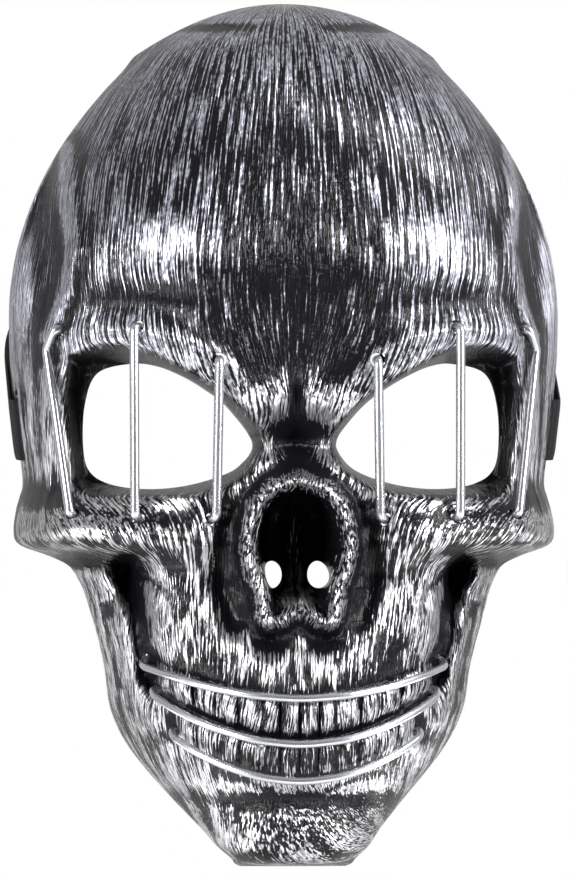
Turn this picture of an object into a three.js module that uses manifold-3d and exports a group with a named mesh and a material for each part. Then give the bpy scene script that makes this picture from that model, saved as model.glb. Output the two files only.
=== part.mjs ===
// A full-face skull mask: a thin formed plastic shell with open eye holes and nostrils, three
// round light wires laced through small holes in it, two in bars over the eyes and one in
// strands over the teeth, and a flat elastic strap looped through a slot in each temple.
// Millimetres. +Z is up, the face looks along -Y, and the wearer's head fills the +Y side.
// The origin is midway between the two strap slots, in the plane of the shell's back edge.

import * as THREE from "three";
import { mergeVertices } from "three/addons/utils/BufferGeometryUtils.js";
import Module from "manifold-3d";

const wasm = await Module();
wasm.setup();

// Overall sizes
const maskHeight = 258; // from the chin's edge to the crown's edge
const maskWidth = 165; // at its widest, across the temples
const maskDepth = 84; // from the back edge to the front of the teeth
const wall = 2; // thickness of the formed sheet
const halfWidth = maskWidth / 2;

// Light wires
const eyeWireDiameter = 2.8;
const mouthWireDiameter = 2.3;
const wireSides = 6;
const wireHoleGap = 0.75; // clearance all round a wire in its hole
const wireRestGap = 0.7; // a wire's clearance over the surface it is stretched on
const wireBend = 2.1; // radius of a wire's bends at its holes

// Strap
const strapWidth = 18;
const strapThickness = 1.2;
const strapBack = 112; // how far the strap reaches behind the mask's back edge
const strapRise = 54; // how much higher it runs round the back of the head than in its slots
const strapGap = 0.7; // clearance between the strap and the shell
const strapSewn = 16; // length over which each end is sewn back on the strap
const strapSewnGap = 0.3; // clearance between the two layers there
const strapMerge = 5; // how far behind the shell the two layers come together
const strapBend = 1.1; // radius of its bends in the slot
const slotLength = 24;
const slotWidth = 3;
const slotInset = 8; // from the shell's back edge to the middle of the slot

// Nostrils
const nostrilWidth = 6;
const nostrilHeight = 8;

// Fineness of the round cuts and of the strap's arc
const cutSteps = 27;
const nostrilSides = 10;
const wireHoleSides = 6;
const strapArcSteps = 22;
const snapStep = 0.5;
const snapSlope = 0.5; // the least steepness taken when a point is moved onto a line
const rootSteps = 40; // halvings when the shell's surface is looked for
const wireSlightTurn = 0.3; // turns below this, in radians, are left as one corner
const wireSharpTurn = 1.2; // turns above this take one step more

// The level of the origin and of the strap slots' middles, as a share of the height
const originLevel = 0.502;

// The shell's cross sections, from the crown's edge down to the chin's edge. mid is the level
// of the section's middle, as a share of the height; arch, dip and smile are shares of the
// height too: arch lifts its ends, dip lifts its middle between the brows, and smile lifts it
// towards the mouth's corners. half is its half width, as a share of the shell's; rim and
// front are how far its ends and its middle lie in front of the shell's back plane, as shares
// of the depth. square is how full it is, and steps the mesh rows down to the next section.
const sections = [
  { mid: 0.998, arch: -0.054, dip: 0, smile: 0, half: 0.505, rim: 0, front: 0, square: 2.2, steps: 1 },
  { mid: 0.995, arch: -0.059, dip: 0, smile: 0, half: 0.545, rim: 0, front: 0.17, square: 2.2, steps: 1 },
  { mid: 0.986, arch: -0.067, dip: 0, smile: 0, half: 0.588, rim: 0, front: 0.33, square: 2.3, steps: 1 },
  { mid: 0.967, arch: -0.072, dip: 0, smile: 0, half: 0.658, rim: 0, front: 0.47, square: 2.4, steps: 1 },
  { mid: 0.932, arch: -0.068, dip: 0, smile: 0, half: 0.738, rim: 0, front: 0.6, square: 2.6, steps: 1 },
  { mid: 0.88, arch: -0.056, dip: 0, smile: 0, half: 0.825, rim: 0, front: 0.71, square: 2.8, steps: 1 },
  { mid: 0.815, arch: -0.04, dip: 0, smile: 0, half: 0.905, rim: 0, front: 0.79, square: 3.0, steps: 1 },
  { mid: 0.745, arch: -0.025, dip: 0, smile: 0, half: 0.965, rim: 0, front: 0.84, square: 3.1, steps: 1 },
  { mid: 0.685, arch: -0.01, dip: 0, smile: 0, half: 0.992, rim: 0, front: 0.86, square: 3.2, steps: 1 },
  { mid: 0.643, arch: 0, dip: -0.02, smile: 0, half: 1, rim: 0, front: 0.855, square: 3.2, steps: 2 },
  { mid: 0.616, arch: 0, dip: -0.072, smile: 0, half: 1, rim: 0, front: 0.85, square: 3.2, steps: 1 },
  { mid: 0.602, arch: 0, dip: -0.093, smile: 0, half: 0.999, rim: 0, front: 0.85, square: 3.2, steps: 1 },
  { mid: 0.592, arch: 0, dip: -0.097, smile: 0, half: 0.998, rim: 0, front: 0.85, square: 3.2, steps: 1 },
  { mid: 0.58, arch: 0, dip: -0.095, smile: 0, half: 0.996, rim: 0, front: 0.85, square: 3.2, steps: 2 },
  { mid: 0.51, arch: 0, dip: -0.045, smile: 0, half: 0.976, rim: 0, front: 0.85, square: 3.2, steps: 2 },
  { mid: 0.445, arch: 0, dip: -0.012, smile: 0, half: 0.951, rim: 0, front: 0.86, square: 3.3, steps: 2 },
  { mid: 0.424, arch: 0, dip: -0.004, smile: 0, half: 0.962, rim: 0, front: 0.865, square: 3.5, steps: 1 },
  { mid: 0.41, arch: 0, dip: 0, smile: 0, half: 0.974, rim: 0, front: 0.87, square: 3.5, steps: 2 },
  { mid: 0.385, arch: 0, dip: 0, smile: 0, half: 0.984, rim: 0.01, front: 0.875, square: 3.5, steps: 1 },
  { mid: 0.369, arch: 0, dip: 0, smile: 0, half: 0.965, rim: 0.03, front: 0.88, square: 3.3, steps: 1 },
  { mid: 0.356, arch: 0, dip: 0, smile: 0, half: 0.86, rim: 0.06, front: 0.885, square: 3.0, steps: 1 },
  { mid: 0.341, arch: 0, dip: 0, smile: 0.003, half: 0.79, rim: 0.1, front: 0.89, square: 2.7, steps: 1 },
  { mid: 0.322, arch: 0, dip: 0, smile: 0.006, half: 0.757, rim: 0.15, front: 0.895, square: 2.6, steps: 1 },
  { mid: 0.296, arch: 0, dip: 0, smile: 0.014, half: 0.735, rim: 0.18, front: 0.905, square: 2.5, steps: 2 },
  { mid: 0.256, arch: 0, dip: 0, smile: 0.03, half: 0.717, rim: 0.21, front: 0.925, square: 2.4, steps: 2 },
  { mid: 0.22, arch: 0, dip: 0, smile: 0.04, half: 0.696, rim: 0.235, front: 0.94, square: 2.3, steps: 1 },
  { mid: 0.196, arch: 0, dip: 0, smile: 0.045, half: 0.681, rim: 0.23, front: 0.945, square: 2.2, steps: 3 },
  { mid: 0.147, arch: 0, dip: 0, smile: 0.062, half: 0.662, rim: 0.21, front: 0.94, square: 2.2, steps: 2 },
  { mid: 0.109, arch: 0, dip: 0, smile: 0.055, half: 0.638, rim: 0.19, front: 0.915, square: 2.2, steps: 1 },
  { mid: 0.08, arch: 0, dip: 0, smile: 0.045, half: 0.565, rim: 0.18, front: 0.875, square: 2.2, steps: 2 },
  { mid: 0.052, arch: 0, dip: 0, smile: 0.04, half: 0.43, rim: 0.23, front: 0.875, square: 2.3, steps: 1 },
  { mid: 0.031, arch: 0, dip: 0, smile: 0.035, half: 0.331, rim: 0.4, front: 0.865, square: 2.4, steps: 1 },
  { mid: 0.0156, arch: 0, dip: 0, smile: 0.03, half: 0.276, rim: 0.53, front: 0.845, square: 2.5, steps: 1 },
  { mid: 0.006, arch: 0, dip: 0, smile: 0.02, half: 0.226, rim: 0.57, front: 0.8, square: 2.5, steps: 1 },
  { mid: 0.002, arch: 0, dip: 0, smile: 0.01, half: 0.212, rim: 0.56, front: 0.68, square: 2.4, steps: 1 },
  { mid: 0, arch: 0, dip: 0, smile: 0, half: 0.19, rim: 0.535, front: 0.56, square: 2.2, steps: 0 },
];
const sideCurve = 1.6; // how fast a section turns back to its ends
const edgeFade = 0.14; // relief fades out over this share of the depth at a section's ends
const dipWidth = 0.29; // half width of the dip between the brows, as a share of the half width
const mouthHalf = 0.52; // half width of the mouth, as a share of the half width
const smileLevelling = 0.3; // how soon the smile levels off beyond the mouth's corners
const gumSection = 26; // the sections at the teeth's edges, counted from the crown
const biteSection = 27;
const jawSection = 28;

// The mesh columns on one side, as shares of a section's half width. Up to the mouth's corner
// they are the edges of the teeth, with one more column in the middle of each tooth.
const toothEdges = [0, 0.104, 0.19, 0.327, 0.436, 0.555, 0.673, 0.79];
const sideColumns = [0.845, 0.895, 0.94, 0.975, 1];

// Mounds (lift above 0) and hollows (below 0), the same on both sides. across and wide are
// shares of the half width, level and tall of the height, and lift of the depth.
const mounds = [
  { name: "frontal bump", across: 0.42, level: 0.72, wide: 0.3, tall: 0.055, lift: 0.018 },
  { name: "hollow over the brow", across: 0.5, level: 0.655, wide: 0.25, tall: 0.02, lift: -0.03 },
  { name: "temple hollow", across: 0.885, level: 0.71, wide: 0.07, tall: 0.09, lift: -0.14 },
  { name: "side of the eye", across: 0.875, level: 0.51, wide: 0.035, tall: 0.09, lift: 0.03 },
  { name: "bridge of the nose", across: 0, level: 0.486, wide: 0.13, tall: 0.028, lift: -0.14 },
  { name: "cleft between the brows", across: 0, level: 0.535, wide: 0.03, tall: 0.03, lift: -0.04 },
  { name: "inner brow", across: 0.1, level: 0.535, wide: 0.07, tall: 0.022, lift: 0.03 },
  { name: "cheekbone's corner", across: 0.86, level: 0.388, wide: 0.12, tall: 0.022, lift: 0.05 },
  { name: "pit under the nose", across: 0.1, level: 0.262, wide: 0.07, tall: 0.016, lift: -0.05 },
  { name: "lip ridge", across: 0, level: 0.25, wide: 0.03, tall: 0.03, lift: 0.02 },
  { name: "pocket under the cheekbone", across: 0.592, level: 0.328, wide: 0.06, tall: 0.026, lift: -0.13 },
  { name: "upper jaw beside the pocket", across: 0.42, level: 0.3, wide: 0.07, tall: 0.04, lift: 0.02 },
  { name: "mouth's corner", across: 0.51, level: 0.22, wide: 0.04, tall: 0.03, lift: -0.06 },
  { name: "mouth's lower corner", across: 0.45, level: 0.168, wide: 0.04, tall: 0.02, lift: -0.04 },
  { name: "chin's corner", across: 0.2, level: 0.035, wide: 0.09, tall: 0.02, lift: 0.03 },
  { name: "chin groove", across: 0, level: 0.078, wide: 0.34, tall: 0.012, lift: -0.04 },
  { name: "crown dent", across: 0.28, level: 0.967, wide: 0.11, tall: 0.007, lift: -0.06 },
];

// Ridges (lift above 0) and grooves (below 0) along a path of points [across, level]. width is
// a share of the half width, and lift, a share of the depth, runs from one end to the other.
const ridges = [
  {
    name: "brow", width: 0.062, lift: [0.02, 0.035],
    path: [[0.1, 0.54], [0.2, 0.56], [0.3, 0.583], [0.42, 0.605], [0.56, 0.617], [0.7, 0.617], [0.82, 0.61]],
  },
  {
    name: "temple line", width: 0.03, lift: [0.02, 0.045],
    path: [[0.8, 0.83], [0.81, 0.76], [0.79, 0.71], [0.82, 0.66], [0.88, 0.61]],
  },
  {
    name: "cheekbone", width: 0.075, lift: [0.03, 0.06],
    path: [[0.3, 0.372], [0.5, 0.378], [0.72, 0.386], [0.92, 0.388]],
  },
  {
    name: "groove beside the nose", width: 0.05, lift: [-0.05, -0.06],
    path: [[0.262, 0.412], [0.265, 0.37], [0.255, 0.32], [0.22, 0.285]],
  },
  {
    name: "groove under the cheekbone", width: 0.032, lift: [-0.06, -0.02],
    path: [[0.8, 0.352], [0.68, 0.351], [0.606, 0.346], [0.534, 0.335], [0.47, 0.316]],
  },
  {
    name: "cheek hollow", width: 0.042, lift: [-0.14, -0.07],
    path: [[0.602, 0.34], [0.58, 0.326], [0.562, 0.304], [0.555, 0.281], [0.547, 0.258], [0.529, 0.223]],
  },
  {
    name: "jaw's ridge", width: 0.035, lift: [0.03, 0.03],
    path: [
      [0.665, 0.335], [0.635, 0.316], [0.61, 0.293], [0.6, 0.264], [0.58, 0.223], [0.55, 0.19], [0.52, 0.165],
    ],
  },
];

// The eye socket's edge and the eye hole in its floor, as points [across, level]
const socketEdge = [
  [0.115, 0.5], [0.2, 0.532], [0.29, 0.554], [0.42, 0.578], [0.56, 0.599], [0.7, 0.602], [0.82, 0.59],
  [0.835, 0.55], [0.822, 0.49], [0.8, 0.437], [0.74, 0.422], [0.56, 0.42], [0.36, 0.424], [0.25, 0.434],
  [0.16, 0.452], [0.108, 0.48],
];
const eyeEdge = [
  [0.15, 0.488], [0.24, 0.528], [0.325, 0.549], [0.405, 0.564], [0.49, 0.575], [0.58, 0.578], [0.7, 0.567],
  [0.745, 0.53], [0.75, 0.48], [0.725, 0.453], [0.65, 0.439], [0.53, 0.434], [0.4, 0.437], [0.28, 0.447],
  [0.195, 0.461],
];
const socketRun = 0.07; // how far the socket's wall runs in, as a share of the half width
const socketFloorInner = 0.54; // where the floor lies at the nose, as a share of the depth
const socketFloorOuter = 0.4; // and at the temple

// The nose's opening, as points [across, level] along its rim, and what lies inside it
const noseRim = [
  [0, 0.447], [0.1, 0.436], [0.158, 0.415], [0.182, 0.387], [0.186, 0.363], [0.168, 0.343], [0.14, 0.322],
  [0.133, 0.305], [0.125, 0.29], [0.105, 0.281], [0.07, 0.283], [0.035, 0.292], [0, 0.297],
];
const noseRimWidth = 0.045;
const noseRimLift = 0.06;
const noseRun = 0.06; // how far the nose's inner wall runs in, as a share of the half width
const noseDeep = 0.26; // how deep the nose's hollow is, as a share of the depth
const septumWidth = 0.03;
const septumLift = 0.06;
const spine = { level: 0.295, width: 0.04, lift: 0.06 };
const nostril = { across: 0.082, level: 0.336 };

// How far the teeth stand out and how deep the line of the bite is, as shares of the depth
const upperToothLift = 0.028;
const lowerToothLift = 0.018;
const biteGroove = 0.035;
const biteWidth = 0.15; // half width of the bite's line, in rows of the sections

// A light wire over an eye has three bars, each from a hole in the brow to one under the eye.
// The bar farthest out bends round the brow's corner on its way. Points are [across, level].
const eyeBars = [
  { over: [0.836, 0.618], bend: [0.862, 0.596], under: [0.795, 0.404] },
  { over: [0.574, 0.62], under: [0.574, 0.402] },
  { over: [0.283, 0.582], under: [0.308, 0.4] },
];
const wireSag = 3; // how far a wire sags behind the shell between two holes under the eye
const wireTail = 7; // how far a wire's ends reach behind the shell

// The wire over the teeth has three strands, each from a hole at one corner of the mouth to one
// at the other, and lowest in the middle.
const mouthStrands = [
  { across: 0.525, corner: 0.238, middle: 0.195 },
  { across: 0.49, corner: 0.2035, middle: 0.144 },
  { across: 0.425, corner: 0.157, middle: 0.1055 },
];
const strandSteps = 10;
const strandClear = 2; // how much farther the strands stay off the shell, for the teeth

const finishes = {
  plastic: { color: 0x8a8c92, roughness: 0.38, metalness: 0.75 },
  wire: { color: 0xe4e6ea, roughness: 0.25, metalness: 0 },
  elastic: { color: 0x141414, roughness: 0.9, metalness: 0 },
};

const clamp01 = (value) => Math.min(1, Math.max(0, value));
const smoothStep = (value) => clamp01(value) ** 2 * (3 - 2 * clamp01(value));
const mix = (from, to, share) => from + (to - from) * share;
const heightOf = (level) => (level - originLevel) * maskHeight;
const levelOf = (z) => z / maskHeight + originLevel;

// The section at a place between two rows of the table, by a smooth curve through the rows
function sectionAt(place) {
  const index = Math.min(Math.floor(place), sections.length - 2);
  const share = place - index;
  const before = sections[Math.max(index - 1, 0)];
  const from = sections[index];
  const to = sections[index + 1];
  const after = sections[Math.min(index + 2, sections.length - 1)];
  const result = {};
  for (const name of ["mid", "arch", "dip", "smile", "half", "rim", "front", "square"]) {
    const leaving = (to[name] - before[name]) / 2;
    const arriving = (after[name] - from[name]) / 2;
    const bend = 2 * (from[name] - to[name]) + leaving + arriving;
    const swing = 3 * (to[name] - from[name]) - 2 * leaving - arriving;
    result[name] = ((bend * share + swing) * share + leaving) * share + from[name];
  }
  return result;
}

function smileShape(across) {
  const share = across / mouthHalf;
  if (share < 1) {
    return share ** 2;
  }
  return 1 + smileLevelling * (1 - Math.exp((-2 * (share - 1)) / smileLevelling));
}

// The height of a section where it crosses x
function heightOn(section, x) {
  const across = Math.abs(x) / halfWidth;
  const share = across / section.half;
  const level =
    section.mid +
    section.arch * share ** 2 +
    section.dip * Math.exp(-((across / dipWidth) ** 2)) +
    section.smile * smileShape(across);
  return heightOf(level);
}

// How far a section reaches in front of the back plane at x, before its relief
function reachOn(section, x) {
  const share = Math.min(1, Math.abs(x) / (section.half * halfWidth));
  const fullness = (1 - share ** section.square) ** (1 / sideCurve);
  return maskDepth * mix(section.rim, section.front, fullness);
}

// Distance from a point to a path, with the share of the path's length at the nearest point
function nearestOn(path, x, z, closed) {
  const points = path.map(([across, level]) => [across * halfWidth, heightOf(level)]);
  const count = closed ? points.length : points.length - 1;
  let best = { distance: Infinity, along: 0 };
  for (let i = 0; i < count; i += 1) {
    const [ax, az] = points[i];
    const [bx, bz] = points[(i + 1) % points.length];
    const length = (bx - ax) ** 2 + (bz - az) ** 2;
    const share = clamp01(((x - ax) * (bx - ax) + (z - az) * (bz - az)) / length);
    const distance = Math.hypot(x - mix(ax, bx, share), z - mix(az, bz, share));
    if (distance < best.distance) {
      best = { distance, along: (i + share) / count };
    }
  }
  return best;
}

// How deep a point lies inside a closed outline, or how far outside it as a negative number
function depthInside(outline, x, z) {
  let inside = false;
  outline.forEach(([across, level], i) => {
    const [nextAcross, nextLevel] = outline[(i + 1) % outline.length];
    const [ax, az] = [across * halfWidth, heightOf(level)];
    const [bx, bz] = [nextAcross * halfWidth, heightOf(nextLevel)];
    if (az > z !== bz > z && x < ax + ((z - az) / (bz - az)) * (bx - ax)) {
      inside = !inside;
    }
  });
  const { distance } = nearestOn(outline, x, z, true);
  return inside ? distance : -distance;
}

const otherNoseRim = noseRim.slice(1, -1).map(([across, level]) => [-across, level]);
const noseOutline = [...noseRim, ...otherNoseRim.reverse()];

// The reach of the shell's outer face at a point of the front view, with all but the teeth
function withRelief(reach, x, z) {
  const side = Math.abs(x);
  let lift = 0;
  for (const mound of mounds) {
    const across = (side / halfWidth - mound.across) / mound.wide;
    const up = (levelOf(z) - mound.level) / mound.tall;
    lift += mound.lift * Math.exp(-(across ** 2) - up ** 2);
  }
  for (const ridge of ridges) {
    const { distance, along } = nearestOn(ridge.path, side, z, false);
    const falloff = Math.exp(-((distance / (ridge.width * halfWidth)) ** 2));
    lift += mix(ridge.lift[0], ridge.lift[1], along) * falloff;
  }
  const noseInside = depthInside(noseOutline, x, z);
  lift += noseRimLift * Math.exp(-((noseInside / (noseRimWidth * halfWidth)) ** 2));
  const spineUp = ((levelOf(z) - spine.level) * maskHeight) / (spine.width * halfWidth);
  lift += spine.lift * Math.exp(-((x / (spine.width * halfWidth)) ** 2) - spineUp ** 2);
  const noseShare = smoothStep((noseInside - (noseRimWidth / 2) * halfWidth) / (noseRun * halfWidth));
  const septum = septumLift * Math.exp(-((x / (septumWidth * halfWidth)) ** 2));
  lift -= noseShare * (noseDeep - septum);
  let lifted = reach + lift * maskDepth;
  const socketShare = smoothStep(depthInside(socketEdge, side, z) / (socketRun * halfWidth));
  const floorShare = clamp01((side / halfWidth - socketEdge[0][0]) / (1 - socketEdge[0][0]));
  const floor = maskDepth * mix(socketFloorInner, socketFloorOuter, floorShare);
  lifted = mix(lifted, Math.min(lifted, floor), socketShare);
  return lifted;
}

// How far the teeth stand out at a place between the sections and a share of their half width
function toothLift(place, share) {
  if (place <= gumSection || place >= jawSection) {
    return 0;
  }
  const across = Math.abs(share);
  const index = toothEdges.findIndex((edge) => across < edge);
  if (index < 1) {
    return 0;
  }
  const middle = (across - toothEdges[index - 1]) / (toothEdges[index] - toothEdges[index - 1]);
  const bulge = Math.sqrt(Math.sin(Math.PI * middle));
  const upper = place < biteSection;
  const lift = upper ? upperToothLift : lowerToothLift;
  const [start, end] = upper ? [gumSection, biteSection] : [biteSection, jawSection];
  const along = Math.sqrt(Math.sin((Math.PI * (place - start)) / (end - start)));
  const bite = biteGroove * Math.exp(-(((place - biteSection) / biteWidth) ** 2));
  return maskDepth * (lift * bulge * along - bite);
}

// The reach of the outer face on a section at x. Relief fades out at the section's ends, so
// that the back edge stays flat.
function frontOn(section, x) {
  const reach = reachOn(section, x);
  const relief = withRelief(reach, x, heightOn(section, x)) - reach;
  const fade = smoothStep((reach - maskDepth * section.rim) / (maskDepth * edgeFade));
  return reach + relief * fade;
}

// A point of the outer face, at a place between the sections and a share of their half width
function outerPoint(place, share) {
  const section = sectionAt(place);
  const x = share * section.half * halfWidth;
  return new THREE.Vector3(x, -frontOn(section, x) - toothLift(place, share), heightOn(section, x));
}

// A closed solid from a geometry, for cutting, and a geometry back from a solid
function solidOf(geometry) {
  geometry.deleteAttribute("normal");
  geometry.deleteAttribute("uv");
  const merged = mergeVertices(geometry, 1e-5);
  const vertProperties = new Float32Array(merged.attributes.position.array);
  const triVerts = new Uint32Array(merged.index.array);
  return new wasm.Manifold(new wasm.Mesh({ numProp: 3, vertProperties, triVerts }));
}

function geometryOf(solid) {
  const mesh = solid.getMesh();
  const geometry = new THREE.BufferGeometry();
  geometry.setAttribute("position", new THREE.BufferAttribute(new Float32Array(mesh.vertProperties), 3));
  geometry.setIndex(new THREE.BufferAttribute(new Uint32Array(mesh.triVerts), 1));
  return geometry;
}

// Where a grid edge crosses a line of the relief, its nearer end is moved onto that line, so
// that the line comes out crisp. inside says how deep a point lies inside the line's outline,
// and deep which line of that depth is meant.
function snapGrid(points, columns, inside, deep) {
  const depths = points.map(({ x, z }) => inside(x, z) - deep);
  const moves = new Map();
  const rows = points.length / columns;
  points.forEach((_, i) => {
    const column = i % columns;
    const row = Math.floor(i / columns);
    const neighbours = [column < columns - 1 ? i + 1 : i, row < rows - 1 ? i + columns : i];
    for (const j of neighbours) {
      if (depths[i] > 0 !== depths[j] > 0) {
        const nearer = Math.abs(depths[i]) < Math.abs(depths[j]) ? i : j;
        moves.set(nearer, depths[nearer]);
      }
    }
  });
  for (const [i, depth] of moves) {
    const { x, z } = points[i];
    const slopeX = (inside(x + snapStep, z) - inside(x - snapStep, z)) / (2 * snapStep);
    const slopeZ = (inside(x, z + snapStep) - inside(x, z - snapStep)) / (2 * snapStep);
    const steepness = Math.max(slopeX ** 2 + slopeZ ** 2, snapSlope);
    const [newX, newZ] = [x - (depth * slopeX) / steepness, z - (depth * slopeZ) / steepness];
    points[i].set(newX, -reachAt(newX, newZ), newZ);
  }
}

// The bare shell: an outer sheet of points, the same sheet set in by the wall, and an edge
// strip all round between the two
function shellGeometry() {
  const places = sections.flatMap(({ steps }, i) => Array.from({ length: steps }, (_, j) => i + j / steps));
  places.push(sections.length - 1);
  const toothMiddles = toothEdges.slice(1).map((edge, i) => (edge + toothEdges[i]) / 2);
  const oneSide = [...toothEdges, ...toothMiddles, ...sideColumns].sort((a, b) => a - b);
  const shares = [...oneSide.slice(1).reverse().map((share) => -share), ...oneSide];
  const columns = shares.length;
  const outer = places.flatMap((place) => shares.map((share) => outerPoint(place, share)));
  const socketInside = (x, z) => depthInside(socketEdge, Math.abs(x), z);
  const noseInside = (x, z) => depthInside(noseOutline, x, z);
  snapGrid(outer, columns, socketInside, 0);
  snapGrid(outer, columns, socketInside, socketRun * halfWidth);
  snapGrid(outer, columns, noseInside, 0);
  snapGrid(outer, columns, noseInside, (noseRimWidth / 2 + noseRun) * halfWidth);

  const faces = [];
  for (let row = 0; row < places.length - 1; row += 1) {
    for (let column = 0; column < columns - 1; column += 1) {
      const a = row * columns + column;
      const [b, c, d] = [a + columns, a + columns + 1, a + 1];
      if (outer[a].distanceTo(outer[c]) < outer[b].distanceTo(outer[d])) {
        faces.push([a, b, c], [a, c, d]);
      } else {
        faces.push([a, b, d], [b, c, d]);
      }
    }
  }
  const sheet = new THREE.BufferGeometry().setFromPoints(outer);
  sheet.setIndex(faces.flat());
  sheet.computeVertexNormals();
  const normal = new THREE.Vector3();
  const inner = outer.map((point, i) => {
    normal.fromBufferAttribute(sheet.attributes.normal, i);
    const atSide = i % columns === 0 || i % columns === columns - 1;
    normal.y = atSide ? 0 : normal.y; // so the back edge is flat
    return point.clone().addScaledVector(normal.normalize(), -wall);
  });

  const last = (places.length - 1) * columns;
  const edge = [
    ...places.map((_, row) => row * columns),
    ...shares.slice(1).map((_, column) => last + column + 1),
    ...places.slice(1).map((_, row) => last - row * columns - 1),
    ...shares.slice(2).map((_, column) => columns - 2 - column),
  ];
  const offset = outer.length;
  const inside = faces.map(([a, b, c]) => [a + offset, c + offset, b + offset]);
  const strip = edge.flatMap((from, i) => {
    const to = edge[(i + 1) % edge.length];
    return [[to, from, from + offset], [to, from + offset, to + offset]];
  });
  const geometry = new THREE.BufferGeometry().setFromPoints([...outer, ...inner]);
  geometry.setIndex([...faces, ...inside, ...strip].flat());
  return geometry;
}

// The reach of the outer face, without teeth, where the front view shows it at x and z
function reachAt(x, z) {
  let upper = 0;
  let lower = sections.length - 1;
  for (let i = 0; i < rootSteps; i += 1) {
    const middle = (upper + lower) / 2;
    if (heightOn(sectionAt(middle), x) > z) {
      upper = middle;
    } else {
      lower = middle;
    }
  }
  return frontOn(sectionAt(upper), x);
}

// Where a side of the shell lies in x, at a height and a reach in front of the back plane
function sideAt(z, reach) {
  let near = halfWidth / 2;
  let far = halfWidth * 1.1;
  for (let i = 0; i < rootSteps; i += 1) {
    const middle = (near + far) / 2;
    if (reachAt(middle, z) > reach) {
      near = middle;
    } else {
      far = middle;
    }
  }
  return near;
}

// A point on the shell's outer face at [across, level], and the direction straight out of it
function placeOnShell([across, level]) {
  const x = across * halfWidth;
  const z = heightOf(level);
  const step = wall / 2;
  const slopeX = (reachAt(x + step, z) - reachAt(x - step, z)) / (2 * step);
  const slopeZ = (reachAt(x, z + step) - reachAt(x, z - step)) / (2 * step);
  return {
    point: new THREE.Vector3(x, -reachAt(x, z), z),
    out: new THREE.Vector3(-slopeX, -1, -slopeZ).normalize(),
  };
}

function liftedFrom(place, lift) {
  return place.point.clone().addScaledVector(place.out, lift);
}

// A curve whose equal steps are the given stations, however far apart those lie
class StationCurve extends THREE.Curve {
  constructor(stations) {
    super();
    this.stations = stations;
  }
  getPoint(share) {
    const place = share * (this.stations.length - 1);
    const index = Math.min(Math.floor(place), this.stations.length - 2);
    return this.stations[index].clone().lerp(this.stations[index + 1], place - index);
  }
  getUtoTmapping(share) {
    return share;
  }
}

// A round wire through knots, with a bend of the named radius at each of them
function wireGeometry(knots, diameter) {
  const stations = [knots[0]];
  for (let i = 1; i < knots.length - 1; i += 1) {
    const before = knots[i - 1].clone().sub(knots[i]);
    const after = knots[i + 1].clone().sub(knots[i]);
    const turn = Math.PI - before.angleTo(after);
    if (turn < wireSlightTurn) {
      stations.push(knots[i]);
      continue;
    }
    const trim = Math.min(wireBend * Math.tan(turn / 2), before.length() / 2, after.length() / 2);
    const from = knots[i].clone().addScaledVector(before.normalize(), trim);
    const to = knots[i].clone().addScaledVector(after.normalize(), trim);
    const steps = turn > wireSharpTurn ? 3 : 2;
    stations.push(...new THREE.QuadraticBezierCurve3(from, knots[i], to).getPoints(steps));
  }
  stations.push(knots[knots.length - 1]);
  const section = new THREE.Shape();
  for (let i = 0; i < wireSides; i += 1) {
    const angle = (2 * Math.PI * i) / wireSides;
    const [x, y] = [(diameter / 2) * Math.cos(angle), (diameter / 2) * Math.sin(angle)];
    if (i === 0) {
      section.moveTo(x, y);
    } else {
      section.lineTo(x, y);
    }
  }
  const curve = new StationCurve(stations);
  return new THREE.ExtrudeGeometry(section, { steps: stations.length - 1, extrudePath: curve });
}

// How far a wire's middle lies over the shell's outer face, in front of the shell and behind it
const onTop = (diameter) => diameter / 2 + wireRestGap;
const behind = (diameter) => -(wall + diameter / 2 + wireRestGap);

function eyeWireKnots(side) {
  const mirrored = ([across, level]) => placeOnShell([side * across, level]);
  const [top, back] = [onTop(eyeWireDiameter), behind(eyeWireDiameter)];
  const knots = [];
  eyeBars.forEach((bar, i) => {
    const over = mirrored(bar.over);
    const under = mirrored(bar.under);
    const bend = bar.bend ? [liftedFrom(mirrored(bar.bend), top)] : [];
    const downwards = [
      liftedFrom(over, back),
      liftedFrom(over, top),
      ...bend,
      liftedFrom(under, top),
      liftedFrom(under, back),
    ];
    const run = i % 2 === 0 ? downwards : downwards.reverse();
    if (i % 2 === 1) {
      const sagging = knots[knots.length - 1].clone().lerp(run[0], 0.5);
      sagging.z -= wireSag;
      knots.push(sagging);
    }
    knots.push(...run);
  });
  const first = mirrored(eyeBars[0].over);
  const last = mirrored(eyeBars[eyeBars.length - 1].under);
  knots[0] = liftedFrom(first, back - wireTail);
  knots[knots.length - 1] = liftedFrom(last, back - wireTail);
  return knots;
}

function mouthWireKnots() {
  const [top, back] = [onTop(mouthWireDiameter), behind(mouthWireDiameter)];
  const knots = [];
  mouthStrands.forEach((strand, i) => {
    const side = i % 2 === 0 ? -1 : 1;
    const corners = [side, -side].map((sign) => placeOnShell([sign * strand.across, strand.corner]));
    const run = [liftedFrom(corners[0], back - strandClear), liftedFrom(corners[0], top)];
    for (let step = 1; step < strandSteps; step += 1) {
      const share = side * Math.cos((Math.PI * step) / strandSteps);
      const level = mix(strand.middle, strand.corner, share ** 2);
      run.push(liftedFrom(placeOnShell([share * strand.across, level]), top + strandClear));
    }
    run.push(liftedFrom(corners[1], top), liftedFrom(corners[1], back - strandClear));
    knots.push(...run);
  });
  const first = placeOnShell([-mouthStrands[0].across, mouthStrands[0].corner]);
  const lastStrand = mouthStrands[mouthStrands.length - 1];
  const lastSide = mouthStrands.length % 2 === 0 ? -1 : 1;
  const last = placeOnShell([lastSide * lastStrand.across, lastStrand.corner]);
  knots[0] = liftedFrom(first, back - wireTail);
  knots[knots.length - 1] = liftedFrom(last, back - wireTail);
  return knots;
}

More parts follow.
